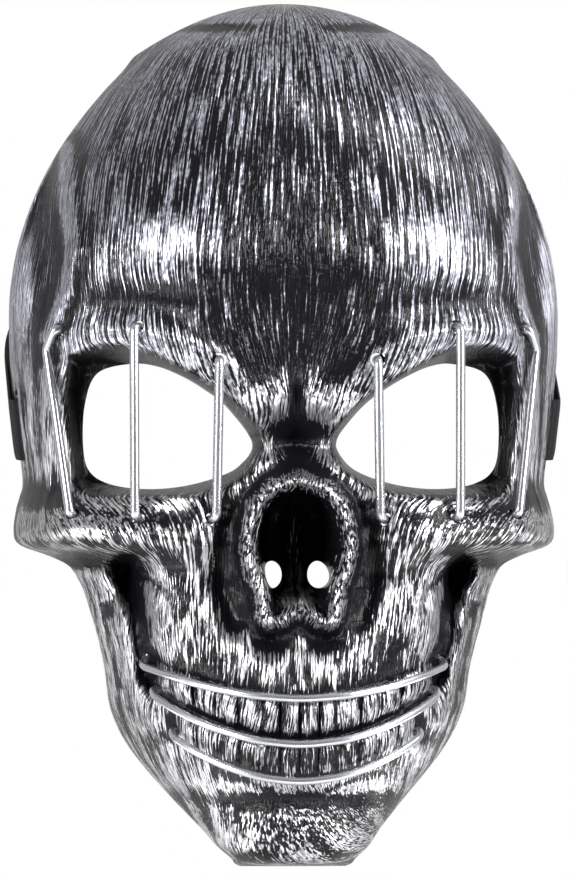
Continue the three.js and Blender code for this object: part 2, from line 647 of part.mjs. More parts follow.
// A straight prism along Y through the whole shell, from an outline of [across, level] points
function frontCutter(outline, side) {
  const points = outline.map(([across, level]) => {
    return new THREE.Vector2(side * across * halfWidth, heightOf(level));
  });
  const shape = new THREE.Shape(new THREE.SplineCurve([...points, points[0]]).getPoints(cutSteps));
  const length = 2 * maskDepth;
  const geometry = new THREE.ExtrudeGeometry(shape, { depth: length, bevelEnabled: false });
  geometry.rotateX(Math.PI / 2);
  geometry.translate(0, length / 4, 0);
  return solidOf(geometry);
}

function wireHoleCutter(point, diameter) {
  const place = placeOnShell(point);
  const length = 4 * wall;
  const radius = diameter / 2 + wireHoleGap;
  const geometry = new THREE.CylinderGeometry(radius, radius, length, wireHoleSides);
  geometry.applyQuaternion(new THREE.Quaternion().setFromUnitVectors(new THREE.Vector3(0, 1, 0), place.out));
  geometry.translate(...liftedFrom(place, -wall / 2));
  return solidOf(geometry);
}

function shellSolid() {
  let shell = solidOf(shellGeometry());
  const nostrilOutline = Array.from({ length: nostrilSides }, (_, i) => {
    const angle = (2 * Math.PI * i) / nostrilSides;
    const across = nostril.across + ((nostrilWidth / 2) * Math.cos(angle)) / halfWidth;
    return [across, nostril.level + ((nostrilHeight / 2) * Math.sin(angle)) / maskHeight];
  });
  for (const side of [-1, 1]) {
    const holes = eyeBars.flatMap(({ over, under }) => [[over, eyeWireDiameter], [under, eyeWireDiameter]]);
    holes.push(...mouthStrands.map(({ across, corner }) => [[across, corner], mouthWireDiameter]));
    const slot = new THREE.BoxGeometry(halfWidth, slotWidth, slotLength);
    slot.translate(side * halfWidth, -slotInset, 0);
    const cutters = [
      frontCutter(eyeEdge, side),
      frontCutter(nostrilOutline, side),
      solidOf(slot),
      ...holes.map(([[across, level], diameter]) => wireHoleCutter([side * across, level], diameter)),
    ];
    for (const cutter of cutters) {
      shell = shell.subtract(cutter);
    }
  }
  return shell;
}

// The strap's line in the plan view: from its end sewn on behind one slot, forward inside the
// shell, out through the slot and back, round the head, and the same again on the other side
function strapLine() {
  const outside = sideAt(0, 0) + strapGap + strapThickness / 2;
  const inside = sideAt(0, slotInset) - wall - strapGap - strapThickness / 2;
  const sewn = outside - strapThickness - strapSewnGap;
  const straight = strapMerge + strapSewn;
  const knots = [
    [sewn, straight],
    [sewn, strapMerge],
    [inside, 0],
    [inside, -slotInset],
    [outside, -slotInset],
    [outside, straight],
  ].map(([x, y]) => new THREE.Vector3(x, y, 0));
  const sideLine = [knots[0]];
  for (let i = 1; i < knots.length - 1; i += 1) {
    const before = knots[i - 1].clone().sub(knots[i]).normalize();
    const after = knots[i + 1].clone().sub(knots[i]).normalize();
    const from = knots[i].clone().addScaledVector(before, strapBend);
    const to = knots[i].clone().addScaledVector(after, strapBend);
    sideLine.push(...new THREE.QuadraticBezierCurve3(from, knots[i], to).getPoints(3));
  }
  const arc = Array.from({ length: strapArcSteps + 1 }, (_, i) => {
    const angle = (Math.PI * i) / strapArcSteps;
    const y = straight + (strapBack - straight) * Math.sin(angle);
    return new THREE.Vector3(outside * Math.cos(angle), y, 0);
  });
  const otherSide = sideLine.map((point) => new THREE.Vector3(-point.x, point.y, 0)).reverse();
  return [...sideLine, ...arc, ...otherSide];
}

// A ribbon on its edge along the strap's line, rising towards the back of the head, and leaning
// out at the sides as the shell does
function strapGeometry() {
  const line = strapLine();
  const edges = [1, -1].map((side) =>
    line.map((point, i) => {
      const before = line[Math.max(i - 1, 0)];
      const after = line[Math.min(i + 1, line.length - 1)];
      const along = after.clone().sub(before).normalize();
      const half = (side * strapThickness) / 2;
      return new THREE.Vector2(point.x - half * along.y, point.y + half * along.x);
    }),
  );
  const shape = new THREE.Shape([...edges[0], ...edges[1].reverse()]);
  const geometry = new THREE.ExtrudeGeometry(shape, { depth: strapWidth, bevelEnabled: false });
  geometry.translate(0, 0, -strapWidth / 2);
  const lean = (sideAt(strapWidth / 2, slotInset) - sideAt(-strapWidth / 2, slotInset)) / strapWidth;
  const { position } = geometry.attributes;
  for (let i = 0; i < position.count; i += 1) {
    const [x, y, z] = [position.getX(i), position.getY(i), position.getZ(i)];
    const kept = 1 - smoothStep((y - strapMerge - strapSewn) / (strapBack - strapMerge - strapSewn));
    const risen = z + (strapRise * (y + slotInset)) / (strapBack + slotInset);
    position.setX(i, x + Math.sign(x) * lean * z * kept);
    position.setZ(i, risen);
  }
  return geometry;
}

function part(name, geometry, finish) {
  const mesh = new THREE.Mesh(geometry, new THREE.MeshStandardMaterial(finish));
  mesh.name = name;
  return mesh;
}

const mask = new THREE.Group();
mask.add(part("mask_shell", geometryOf(shellSolid()), finishes.plastic));
mask.add(part("eye_wire_left", wireGeometry(eyeWireKnots(1), eyeWireDiameter), finishes.wire));
mask.add(part("eye_wire_right", wireGeometry(eyeWireKnots(-1), eyeWireDiameter), finishes.wire));
mask.add(part("mouth_wire", wireGeometry(mouthWireKnots(), mouthWireDiameter), finishes.wire));
mask.add(part("head_strap", strapGeometry(), finishes.elastic));

export default mask;
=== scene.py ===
import bpy
import bmesh
import math
import numpy as np
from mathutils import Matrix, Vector
from mathutils.kdtree import KDTree


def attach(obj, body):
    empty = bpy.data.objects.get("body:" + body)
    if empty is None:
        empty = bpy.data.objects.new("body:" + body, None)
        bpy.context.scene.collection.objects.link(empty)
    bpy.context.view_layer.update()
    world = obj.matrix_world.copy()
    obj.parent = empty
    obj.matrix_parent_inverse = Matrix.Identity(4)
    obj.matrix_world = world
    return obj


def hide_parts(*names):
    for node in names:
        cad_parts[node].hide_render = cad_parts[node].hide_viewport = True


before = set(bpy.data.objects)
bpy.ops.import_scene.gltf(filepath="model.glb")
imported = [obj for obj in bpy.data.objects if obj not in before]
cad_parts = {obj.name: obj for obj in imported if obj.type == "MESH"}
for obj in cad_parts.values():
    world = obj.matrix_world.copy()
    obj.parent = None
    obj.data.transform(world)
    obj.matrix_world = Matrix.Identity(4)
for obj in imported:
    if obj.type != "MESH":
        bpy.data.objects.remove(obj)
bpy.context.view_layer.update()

mm = 0.001

# The shell's driving sizes, in metres, and its named shares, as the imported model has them
shell = {
    "height": 258 * mm,
    "halfWidth": 82.5 * mm,
    "depth": 84 * mm,
    "wall": 2 * mm,
    "originLevel": 0.502,
    "sideCurve": 1.6,
    "edgeFade": 0.14,
    "dipWidth": 0.29,
    "mouthHalf": 0.52,
    "smileLevelling": 0.3,
    "gumSection": 26,
    "biteSection": 27,
    "jawSection": 28,
    "socketRun": 0.07,
    "socketFloorInner": 0.54,
    "socketFloorOuter": 0.4,
    "noseRimWidth": 0.045,
    "noseRimLift": 0.06,
    "noseRun": 0.06,
    "noseDeep": 0.26,
    "septumWidth": 0.03,
    "septumLift": 0.06,
    "spineLevel": 0.295,
    "spineWidth": 0.04,
    "spineLift": 0.06,
    "nostrilAcross": 0.082,
    "nostrilLevel": 0.336,
    "nostrilWidth": 6 * mm,
    "nostrilHeight": 8 * mm,
    "nostrilSides": 28,
    "upperToothLift": 0.028,
    "lowerToothLift": 0.018,
    "biteGroove": 0.035,
    "biteWidth": 0.15,
    "slotLength": 24 * mm,
    "slotWidth": 3 * mm,
    "slotInset": 8 * mm,
    "rowPairs": 160,  # the fine sheet has two rows for each of these
    "columnPairs": 100,
    "columnSection": 14.0,  # the section whose spacing the columns follow
    "columnDepthWeight": 0.7,
}
half, depth, wall = shell["halfWidth"], shell["depth"], shell["wall"]

# The shell's cross sections, from the crown down. mid, arch, dip and smile are shares of the
# height; half is a share of the half width, and rim and front are shares of the depth.
sectionNames = ("mid", "arch", "dip", "smile", "half", "rim", "front", "square")
sections = np.array([
    (0.998, -0.054, 0, 0, 0.505, 0, 0, 2.2),
    (0.995, -0.059, 0, 0, 0.545, 0, 0.17, 2.2),
    (0.986, -0.067, 0, 0, 0.588, 0, 0.33, 2.3),
    (0.967, -0.072, 0, 0, 0.658, 0, 0.47, 2.4),
    (0.932, -0.068, 0, 0, 0.738, 0, 0.6, 2.6),
    (0.88, -0.056, 0, 0, 0.825, 0, 0.71, 2.8),
    (0.815, -0.04, 0, 0, 0.905, 0, 0.79, 3.0),
    (0.745, -0.025, 0, 0, 0.965, 0, 0.84, 3.1),
    (0.685, -0.01, 0, 0, 0.992, 0, 0.86, 3.2),
    (0.643, 0, -0.02, 0, 1, 0, 0.855, 3.2),
    (0.616, 0, -0.072, 0, 1, 0, 0.85, 3.2),
    (0.602, 0, -0.093, 0, 0.999, 0, 0.85, 3.2),
    (0.592, 0, -0.097, 0, 0.998, 0, 0.85, 3.2),
    (0.58, 0, -0.095, 0, 0.996, 0, 0.85, 3.2),
    (0.51, 0, -0.045, 0, 0.976, 0, 0.85, 3.2),
    (0.445, 0, -0.012, 0, 0.951, 0, 0.86, 3.3),
    (0.424, 0, -0.004, 0, 0.962, 0, 0.865, 3.5),
    (0.41, 0, 0, 0, 0.974, 0, 0.87, 3.5),
    (0.385, 0, 0, 0, 0.984, 0.01, 0.875, 3.5),
    (0.369, 0, 0, 0, 0.965, 0.03, 0.88, 3.3),
    (0.356, 0, 0, 0, 0.86, 0.06, 0.885, 3.0),
    (0.341, 0, 0, 0.003, 0.79, 0.1, 0.89, 2.7),
    (0.322, 0, 0, 0.006, 0.757, 0.15, 0.895, 2.6),
    (0.296, 0, 0, 0.014, 0.735, 0.18, 0.905, 2.5),
    (0.256, 0, 0, 0.03, 0.717, 0.21, 0.925, 2.4),
    (0.22, 0, 0, 0.04, 0.696, 0.235, 0.94, 2.3),
    (0.196, 0, 0, 0.045, 0.681, 0.23, 0.945, 2.2),
    (0.147, 0, 0, 0.062, 0.662, 0.21, 0.94, 2.2),
    (0.109, 0, 0, 0.055, 0.638, 0.19, 0.915, 2.2),
    (0.08, 0, 0, 0.045, 0.565, 0.18, 0.875, 2.2),
    (0.052, 0, 0, 0.04, 0.43, 0.23, 0.875, 2.3),
    (0.031, 0, 0, 0.035, 0.331, 0.4, 0.865, 2.4),
    (0.0156, 0, 0, 0.03, 0.276, 0.53, 0.845, 2.5),
    (0.006, 0, 0, 0.02, 0.226, 0.57, 0.8, 2.5),
    (0.002, 0, 0, 0.01, 0.212, 0.56, 0.68, 2.4),
    (0, 0, 0, 0, 0.19, 0.535, 0.56, 2.2),
])

# The teeth's edges on one side, as shares of a section's half width
toothEdges = np.array([0, 0.104, 0.19, 0.327, 0.436, 0.555, 0.673, 0.79])

# Mounds and hollows: across, level, wide, tall, lift
mounds = {
    "frontalBump": (0.42, 0.72, 0.3, 0.055, 0.018),
    "hollowOverBrow": (0.5, 0.655, 0.25, 0.02, -0.03),
    "templeHollow": (0.885, 0.71, 0.07, 0.09, -0.14),
    "sideOfEye": (0.875, 0.51, 0.035, 0.09, 0.03),
    "bridgeOfNose": (0, 0.486, 0.13, 0.028, -0.14),
    "browCleft": (0, 0.535, 0.03, 0.03, -0.04),
    "innerBrow": (0.1, 0.535, 0.07, 0.022, 0.03),
    "cheekboneCorner": (0.86, 0.388, 0.12, 0.022, 0.05),
    "pitUnderNose": (0.1, 0.262, 0.07, 0.016, -0.05),
    "lipRidge": (0, 0.25, 0.03, 0.03, 0.02),
    "cheekPocket": (0.592, 0.328, 0.06, 0.026, -0.13),
    "upperJaw": (0.42, 0.3, 0.07, 0.04, 0.02),
    "mouthCorner": (0.51, 0.22, 0.04, 0.03, -0.06),
    "mouthLowerCorner": (0.45, 0.168, 0.04, 0.02, -0.04),
    "chinCorner": (0.2, 0.035, 0.09, 0.02, 0.03),
    "chinGroove": (0, 0.078, 0.34, 0.012, -0.04),
    "crownDent": (0.28, 0.967, 0.11, 0.007, -0.06),
}

# Ridges and grooves along a path of (across, level) points: width, lift at each end, path
ridges = {
    "brow": (0.062, 0.02, 0.035, [
        (0.1, 0.54), (0.2, 0.56), (0.3, 0.583), (0.42, 0.605), (0.56, 0.617), (0.7, 0.617), (0.82, 0.61)]),
    "templeLine": (0.03, 0.02, 0.045, [
        (0.8, 0.83), (0.81, 0.76), (0.79, 0.71), (0.82, 0.66), (0.88, 0.61)]),
    "cheekbone": (0.075, 0.03, 0.06, [(0.3, 0.372), (0.5, 0.378), (0.72, 0.386), (0.92, 0.388)]),
    "noseSideGroove": (0.05, -0.05, -0.06, [(0.262, 0.412), (0.265, 0.37), (0.255, 0.32), (0.22, 0.285)]),
    "underCheekbone": (0.032, -0.06, -0.02, [
        (0.8, 0.352), (0.68, 0.351), (0.606, 0.346), (0.534, 0.335), (0.47, 0.316)]),
    "cheekHollow": (0.042, -0.14, -0.07, [
        (0.602, 0.34), (0.58, 0.326), (0.562, 0.304), (0.555, 0.281), (0.547, 0.258), (0.529, 0.223)]),
    "jawRidge": (0.035, 0.03, 0.03, [
        (0.665, 0.335), (0.635, 0.316), (0.61, 0.293), (0.6, 0.264),
        (0.58, 0.223), (0.55, 0.19), (0.52, 0.165)]),
}

# Outlines of (across, level) points
socketEdge = [
    (0.115, 0.5), (0.2, 0.532), (0.29, 0.554), (0.42, 0.578), (0.56, 0.599), (0.7, 0.602), (0.82, 0.59),
    (0.835, 0.55), (0.822, 0.49), (0.8, 0.437), (0.74, 0.422), (0.56, 0.42), (0.36, 0.424), (0.25, 0.434),
    (0.16, 0.452), (0.108, 0.48),
]
eyeEdge = [
    (0.15, 0.488), (0.24, 0.528), (0.325, 0.549), (0.405, 0.564), (0.49, 0.575), (0.58, 0.578),
    (0.7, 0.567),
    (0.745, 0.53), (0.75, 0.48), (0.725, 0.453), (0.65, 0.439), (0.53, 0.434), (0.4, 0.437), (0.28, 0.447),
    (0.195, 0.461),
]
noseRim = [
    (0, 0.447), (0.1, 0.436), (0.158, 0.415), (0.182, 0.387), (0.186, 0.363), (0.168, 0.343), (0.14, 0.322),
    (0.133, 0.305), (0.125, 0.29), (0.105, 0.281), (0.07, 0.283), (0.035, 0.292), (0, 0.297),
]
noseOutline = noseRim + [(-across, level) for across, level in noseRim[-2:0:-1]]


def heightOf(level):
    return (level - shell["originLevel"]) * shell["height"]


def levelOf(z):
    return z / shell["height"] + shell["originLevel"]


def smoothStep(value):
    value = np.clip(value, 0, 1)
    return value * value * (3 - 2 * value)


def bell(value):
    return np.exp(-value ** 2)


# A smooth curve from start to end that comes from before and goes on to after
def curveThrough(before, start, end, after, share):
    leaving, arriving = (end - before) / 2, (after - start) / 2
    bend = 2 * (start - end) + leaving + arriving
    swing = 3 * (end - start) - 2 * leaving - arriving
    return ((bend * share + swing) * share + leaving) * share + start


# The section at a place between the rows of the table
def sectionAt(place):
    place = np.asarray(place, float)
    last = len(sections) - 1
    index = np.clip(np.floor(place).astype(int), 0, last - 1)
    share = (place - index)[..., None]
    before, start = sections[np.maximum(index - 1, 0)], sections[index]
    end, after = sections[index + 1], sections[np.minimum(index + 2, last)]
    row = curveThrough(before, start, end, after, share)
    return {name: row[..., i] for i, name in enumerate(sectionNames)}


def smileShape(across):
    share = across / shell["mouthHalf"]
    levelling = shell["smileLevelling"]
    over = 1 + levelling * (1 - np.exp(-2 * np.maximum(share - 1, 0) / levelling))
    return np.where(share < 1, share ** 2, over)


def heightOn(section, x):
    across = np.abs(x) / half
    share = across / section["half"]
    level = (section["mid"] + section["arch"] * share ** 2
             + section["dip"] * bell(across / shell["dipWidth"])
             + section["smile"] * smileShape(across))
    return heightOf(level)


def reachOn(section, x):
    share = np.minimum(1, np.abs(x) / (section["half"] * half))
    fullness = (1 - share ** section["square"]) ** (1 / shell["sideCurve"])
    return depth * (section["rim"] + (section["front"] - section["rim"]) * fullness)


def pathPoints(path):
    return np.array([(across * half, heightOf(level)) for across, level in path])


# Distance from each point to a path, and the share of the path at its nearest point
def nearestOn(path, x, z, closed=False):
    points = pathPoints(path)
    ends = np.roll(points, -1, axis=0) if closed else points[1:]
    starts = points if closed else points[:-1]
    best = np.full(np.shape(x), np.inf)
    along = np.zeros(np.shape(x))
    for i, ((ax, az), (bx, bz)) in enumerate(zip(starts, ends)):
        share = ((x - ax) * (bx - ax) + (z - az) * (bz - az)) / ((bx - ax) ** 2 + (bz - az) ** 2)
        share = np.clip(share, 0, 1)
        distance = np.hypot(x - ax - (bx - ax) * share, z - az - (bz - az) * share)
        closer = distance < best
        best = np.where(closer, distance, best)
        along = np.where(closer, (i + share) / len(starts), along)
    return best, along


def depthInside(outline, x, z):
    points = pathPoints(outline)
    inside = np.zeros(np.shape(x), bool)
    for (ax, az), (bx, bz) in zip(points, np.roll(points, -1, axis=0)):
        crosses = (az > z) != (bz > z)
        edge = ax + (z - az) / (bz - az if bz != az else 1) * (bx - ax)
        inside ^= crosses & (x < edge)
    distance, _ = nearestOn(outline, x, z, closed=True)
    return np.where(inside, distance, -distance)


# How far a point lies from a mound's middle, squared, in the mound's own widths and heights
def awayFrom(x, z, across, level, wide, tall):
    return ((x / half - across) / wide) ** 2 + ((levelOf(z) - level) / tall) ** 2


# The reach with the mounds, ridges, nose and eye sockets on it, at points of the front view
def withRelief(reach, x, z):
    side = np.abs(x)
    lift = np.zeros(np.shape(x))
    for *mound, height in mounds.values():
        lift += height * np.exp(-awayFrom(side, z, *mound))
    for width, first, last, path in ridges.values():
        distance, along = nearestOn(path, side, z)
        lift += (first + (last - first) * along) * bell(distance / (width * half))
    noseInside = depthInside(noseOutline, x, z)
    lift += shell["noseRimLift"] * bell(noseInside / (shell["noseRimWidth"] * half))
    spineHalf = shell["spineWidth"] * half
    spineUp = (levelOf(z) - shell["spineLevel"]) * shell["height"] / spineHalf
    lift += shell["spineLift"] * np.exp(-(x / spineHalf) ** 2 - spineUp ** 2)
    rimHalf = shell["noseRimWidth"] / 2 * half
    noseShare = smoothStep((noseInside - rimHalf) / (shell["noseRun"] * half))
    septum = shell["septumLift"] * bell(x / (shell["septumWidth"] * half))
    lift -= noseShare * (shell["noseDeep"] - septum)
    lifted = reach + lift * depth
    socketShare = smoothStep(depthInside(socketEdge, side, z) / (shell["socketRun"] * half))
    inner = socketEdge[0][0]
    floorShare = np.clip((side / half - inner) / (1 - inner), 0, 1)
    inmost, outmost = shell["socketFloorInner"], shell["socketFloorOuter"]
    floor = inmost + (outmost - inmost) * floorShare
    floor = np.minimum(lifted, floor * depth)
    return lifted + (floor - lifted) * socketShare


# How far the teeth stand out at a place between the sections and a share of their half width
def toothLift(place, share):
    across = np.abs(share)
    index = np.clip(np.searchsorted(toothEdges, across, side="right"), 1, len(toothEdges) - 1)
    middle = (across - toothEdges[index - 1]) / (toothEdges[index] - toothEdges[index - 1])
    bulge = np.sqrt(np.sin(np.pi * np.clip(middle, 0, 1)))
    gum, bite, jaw = shell["gumSection"], shell["biteSection"], shell["jawSection"]
    upper = place < bite
    lift = np.where(upper, shell["upperToothLift"], shell["lowerToothLift"])
    start = np.where(upper, gum, bite)
    length = np.where(upper, bite - gum, jaw - bite)
    along = np.sqrt(np.sin(np.pi * np.clip((place - start) / length, 0, 1)))
    groove = shell["biteGroove"] * bell((place - bite) / shell["biteWidth"])
    lift = depth * (lift * bulge * along - groove)
    return np.where((place > gum) & (place < jaw) & (across < toothEdges[-1]), lift, 0)


def frontOn(section, x):
    reach = reachOn(section, x)
    relief = withRelief(reach, x, heightOn(section, x)) - reach
    fade = smoothStep((reach - depth * section["rim"]) / (depth * shell["edgeFade"]))
    return reach + relief * fade


halvings = 40  # of a range in which a place is looked for


# The reach of the outer face where the front view shows it at x and z
def reachAt(x, z):
    x, z = np.broadcast_arrays(np.asarray(x, float), np.asarray(z, float))
    upper = np.zeros(x.shape)
    lower = np.full(x.shape, len(sections) - 1.0)
    for _ in range(halvings):
        middle = (upper + lower) / 2
        above = heightOn(sectionAt(middle), x) > z
        upper = np.where(above, middle, upper)
        lower = np.where(above, lower, middle)
    return frontOn(sectionAt(upper), x)


def sideAt(z, reach):
    near, far = half / 2, half * 1.1
    for _ in range(halvings):
        middle = (near + far) / 2
        if reachAt(middle, z) > reach:
            near = middle
        else:
            far = middle
    return near


noiseSize = 128


# Smooth noise between 0 and 1 over two coordinates, the same on every run
def softNoise(u, v, seed):
    lattice = np.random.default_rng(seed).random((noiseSize, noiseSize))
    column, row = np.floor(u).astype(int), np.floor(v).astype(int)
    a, b = smoothStep(u - column), smoothStep(v - row)

    def corner(i, j):
        return lattice[(row + j) % noiseSize, (column + i) % noiseSize]

    upper = corner(0, 0) * (1 - a) + corner(1, 0) * a
    lower = corner(0, 1) * (1 - a) + corner(1, 1) * a
    return upper * (1 - b) + lower * b


def blurred(sheet, passes):
    for _ in range(passes):
        for axis in (0, 1):
            padded = np.concatenate([sheet.take([0], axis), sheet, sheet.take([-1], axis)], axis)
            count = sheet.shape[axis]
            before = padded.take(range(count), axis)
            after = padded.take(range(2, count + 2), axis)
            sheet = sheet / 2 + (before + after) / 4
    return sheet


def sheetNormals(points):
    down = np.gradient(points, axis=0)
    around = np.gradient(points, axis=1)
    normals = np.cross(down, around)
    return normals / np.maximum(np.linalg.norm(normals, axis=2, keepdims=True), 1e-12)


# Evenly spaced rows down the middle of the face, and columns round a section on one side
def rowPlaces(count):
    fine = np.linspace(0, len(sections) - 1, 3501)
    section = sectionAt(fine)
    length = np.zeros(len(fine) - 1)
    for share in (0, 0.6):
        x = share * section["half"] * half
        steps = np.diff([x, reachOn(section, x), heightOn(section, x)], axis=1)
        length = np.maximum(length, np.linalg.norm(steps, axis=0))
    total = np.concatenate([[0], np.cumsum(length)])
    return np.interp(np.linspace(0, total[-1], count), total, fine)


def columnShares(count):
    fine = np.linspace(0, 1, 2001)
    section = sectionAt(np.full(fine.shape, shell["columnSection"]))
    depthSteps = np.diff(reachOn(section, fine * half * section["half"]))
    length = np.hypot(np.diff(fine) * half, shell["columnDepthWeight"] * depthSteps)
    total = np.concatenate([[0], np.cumsum(length)])
    oneSide = np.interp(np.linspace(0, total[-1], count), total, fine)
    return np.concatenate([-oneSide[:0:-1], oneSide])


# How the brush ran: across, level and lean of the strokes' tops away from the middle, in degrees
strokesBoth = [
    (0, 0.9, 0), (0.35, 0.9, -4), (0.65, 0.88, -14), (0, 0.75, 0), (0.35, 0.75, 2), (0.7, 0.75, 2),
    (0.95, 0.7, 0), (0.95, 0.55, 4), (0.95, 0.45, 6), (0.8, 0.64, 6), (0.6, 0.64, 12), (0.4, 0.63, 24),
    (0.2, 0.6, 34), (0.1, 0.56, 36), (0, 0.62, 0), (0.4, 0.67, 10), (0.2, 0.67, 10), (0, 0.52, 0),
    (0.93, 0.385, 62), (0.75, 0.385, 58), (0.55, 0.385, 52), (0.35, 0.38, 40), (0.8, 0.36, 80),
    (0.6, 0.36, 72), (0.42, 0.345, 52), (0.5, 0.3, 4), (0.38, 0.28, 28), (0.25, 0.28, 50), (0.15, 0.25, 55),
    (0.05, 0.25, 30), (0.2, 0.36, 10), (0.68, 0.3, 22), (0.62, 0.22, 16), (0.6, 0.15, 20), (0.1, 0.17, 0),
    (0.3, 0.18, 10), (0.45, 0.2, 14), (0.15, 0.128, 20), (0.35, 0.14, 34), (0.5, 0.09, 32),
]
strokesChin = [(-0.3, 0.05, -34), (-0.1, 0.05, -42), (0.1, 0.05, -42), (0.3, 0.05, -34), (0.38, 0.06, -20)]
strokeWide, strokeTall = 0.13, 0.045
strokeRounds = (500, 250, 250, 250)  # steps in each round of followField
climbLeast, climbMost = 0.6, 1.8


def strokeLean(x, z):
    mirrored = [(-across, level, -lean) for across, level, lean in strokesBoth if across > 0]
    leanX, leanZ = np.zeros(x.shape), np.full(x.shape, 1e-4)
    for across, level, lean in strokesBoth + mirrored + strokesChin:
        weight = np.exp(-awayFrom(x, z, across, level, strokeWide, strokeTall) / 2)
        leanX += weight * math.sin(math.radians(lean))
        leanZ += weight * math.cos(math.radians(lean))
    size = np.hypot(leanX, leanZ)
    return leanX / size, leanZ / size


# How fast a coordinate over the sheet climbs along a way at every point
def climbAlong(points, field, way):
    down, around = np.gradient(points, axis=0), np.gradient(points, axis=1)
    downClimb, aroundClimb = np.gradient(field)
    downSize, aroundSize = np.sum(down ** 2, axis=2), np.sum(around ** 2, axis=2)
    shared = np.sum(down * around, axis=2)
    area = downSize * aroundSize - shared ** 2
    downShare = (downClimb * aroundSize - aroundClimb * shared) / area
    aroundShare = (aroundClimb * downSize - downClimb * shared) / area
    return downShare * np.sum(down * way, axis=2) + aroundShare * np.sum(around * way, axis=2)


# A coordinate over the sheet that climbs as near as can be along a wanted way at every point, so
# that noise drawn out along it bends with the strokes. How fast it climbs matters less than
# where to, so each round wants the climb that the last one found.
def followField(points, way):
    steps = [points[1:] - points[:-1], points[:, 1:] - points[:, :-1]]
    strength = [1 / np.sum(step ** 2, axis=2) for step in steps]
    scale = np.mean(strength[0])
    strength = [part / scale for part in strength]

    def spread(down, around):
        total = np.zeros(points.shape[:2])
        total[1:] += down
        total[:-1] -= down
        total[:, 1:] += around
        total[:, :-1] -= around
        return total

    def pull(field):
        down = strength[0] * (field[1:] - field[:-1])
        around = strength[1] * (field[:, 1:] - field[:, :-1])
        return spread(down, around)

    weight = np.zeros(points.shape[:2])
    weight[1:] += strength[0]
    weight[:-1] += strength[0]
    weight[:, 1:] += strength[1]
    weight[:, :-1] += strength[1]
    field = points[..., 0].copy()
    climb = np.ones(points.shape[:2])
    for tries in strokeRounds:
        wanted = way * climb[..., None]
        fields = [(wanted[1:] + wanted[:-1]) / 2, (wanted[:, 1:] + wanted[:, :-1]) / 2]
        target = [np.sum(step * part, axis=2) for step, part in zip(steps, fields)]
        rest = spread(strength[0] * target[0], strength[1] * target[1]) - pull(field)
        eased = rest / weight
        search = eased.copy()
        size = np.sum(rest * eased)
        for _ in range(tries):
            pulled = pull(search)
            step = size / np.sum(search * pulled)
            field += step * search
            rest -= step * pulled
            eased = rest / weight
            newSize = np.sum(rest * eased)
            search = eased + newSize / size * search
            size = newSize
        climb = np.clip(climbAlong(points, field, way), climbLeast, climbMost)
    return field


print("laying out the shell's sheets")
places = rowPlaces(2 * shell["rowPairs"] + 1)
shares = columnShares(shell["columnPairs"] + 1)
placeGrid, shareGrid = np.meshgrid(places, shares, indexing="ij")
sectionGrid = sectionAt(placeGrid)
sheetX = shareGrid * sectionGrid["half"] * half
sheetZ = heightOn(sectionGrid, sheetX)
sheetReach = frontOn(sectionGrid, sheetX) + toothLift(placeGrid, shareGrid)
outer = np.stack([sheetX, -sheetReach, sheetZ], axis=2)

print("following the brush strokes")
smoothOuter = blurred(outer, 4)
normals = sheetNormals(smoothOuter)
leanX, leanZ = strokeLean(sheetX, sheetZ)
strokeWay = np.stack([leanX, np.zeros_like(leanX), leanZ], axis=2)
strokeWay -= normals * np.sum(strokeWay * normals, axis=2, keepdims=True)
strokeWay /= np.maximum(np.linalg.norm(strokeWay, axis=2, keepdims=True), 1e-9)
acrossStroke = followField(smoothOuter, np.cross(normals, strokeWay))
alongStroke = followField(smoothOuter, strokeWay)

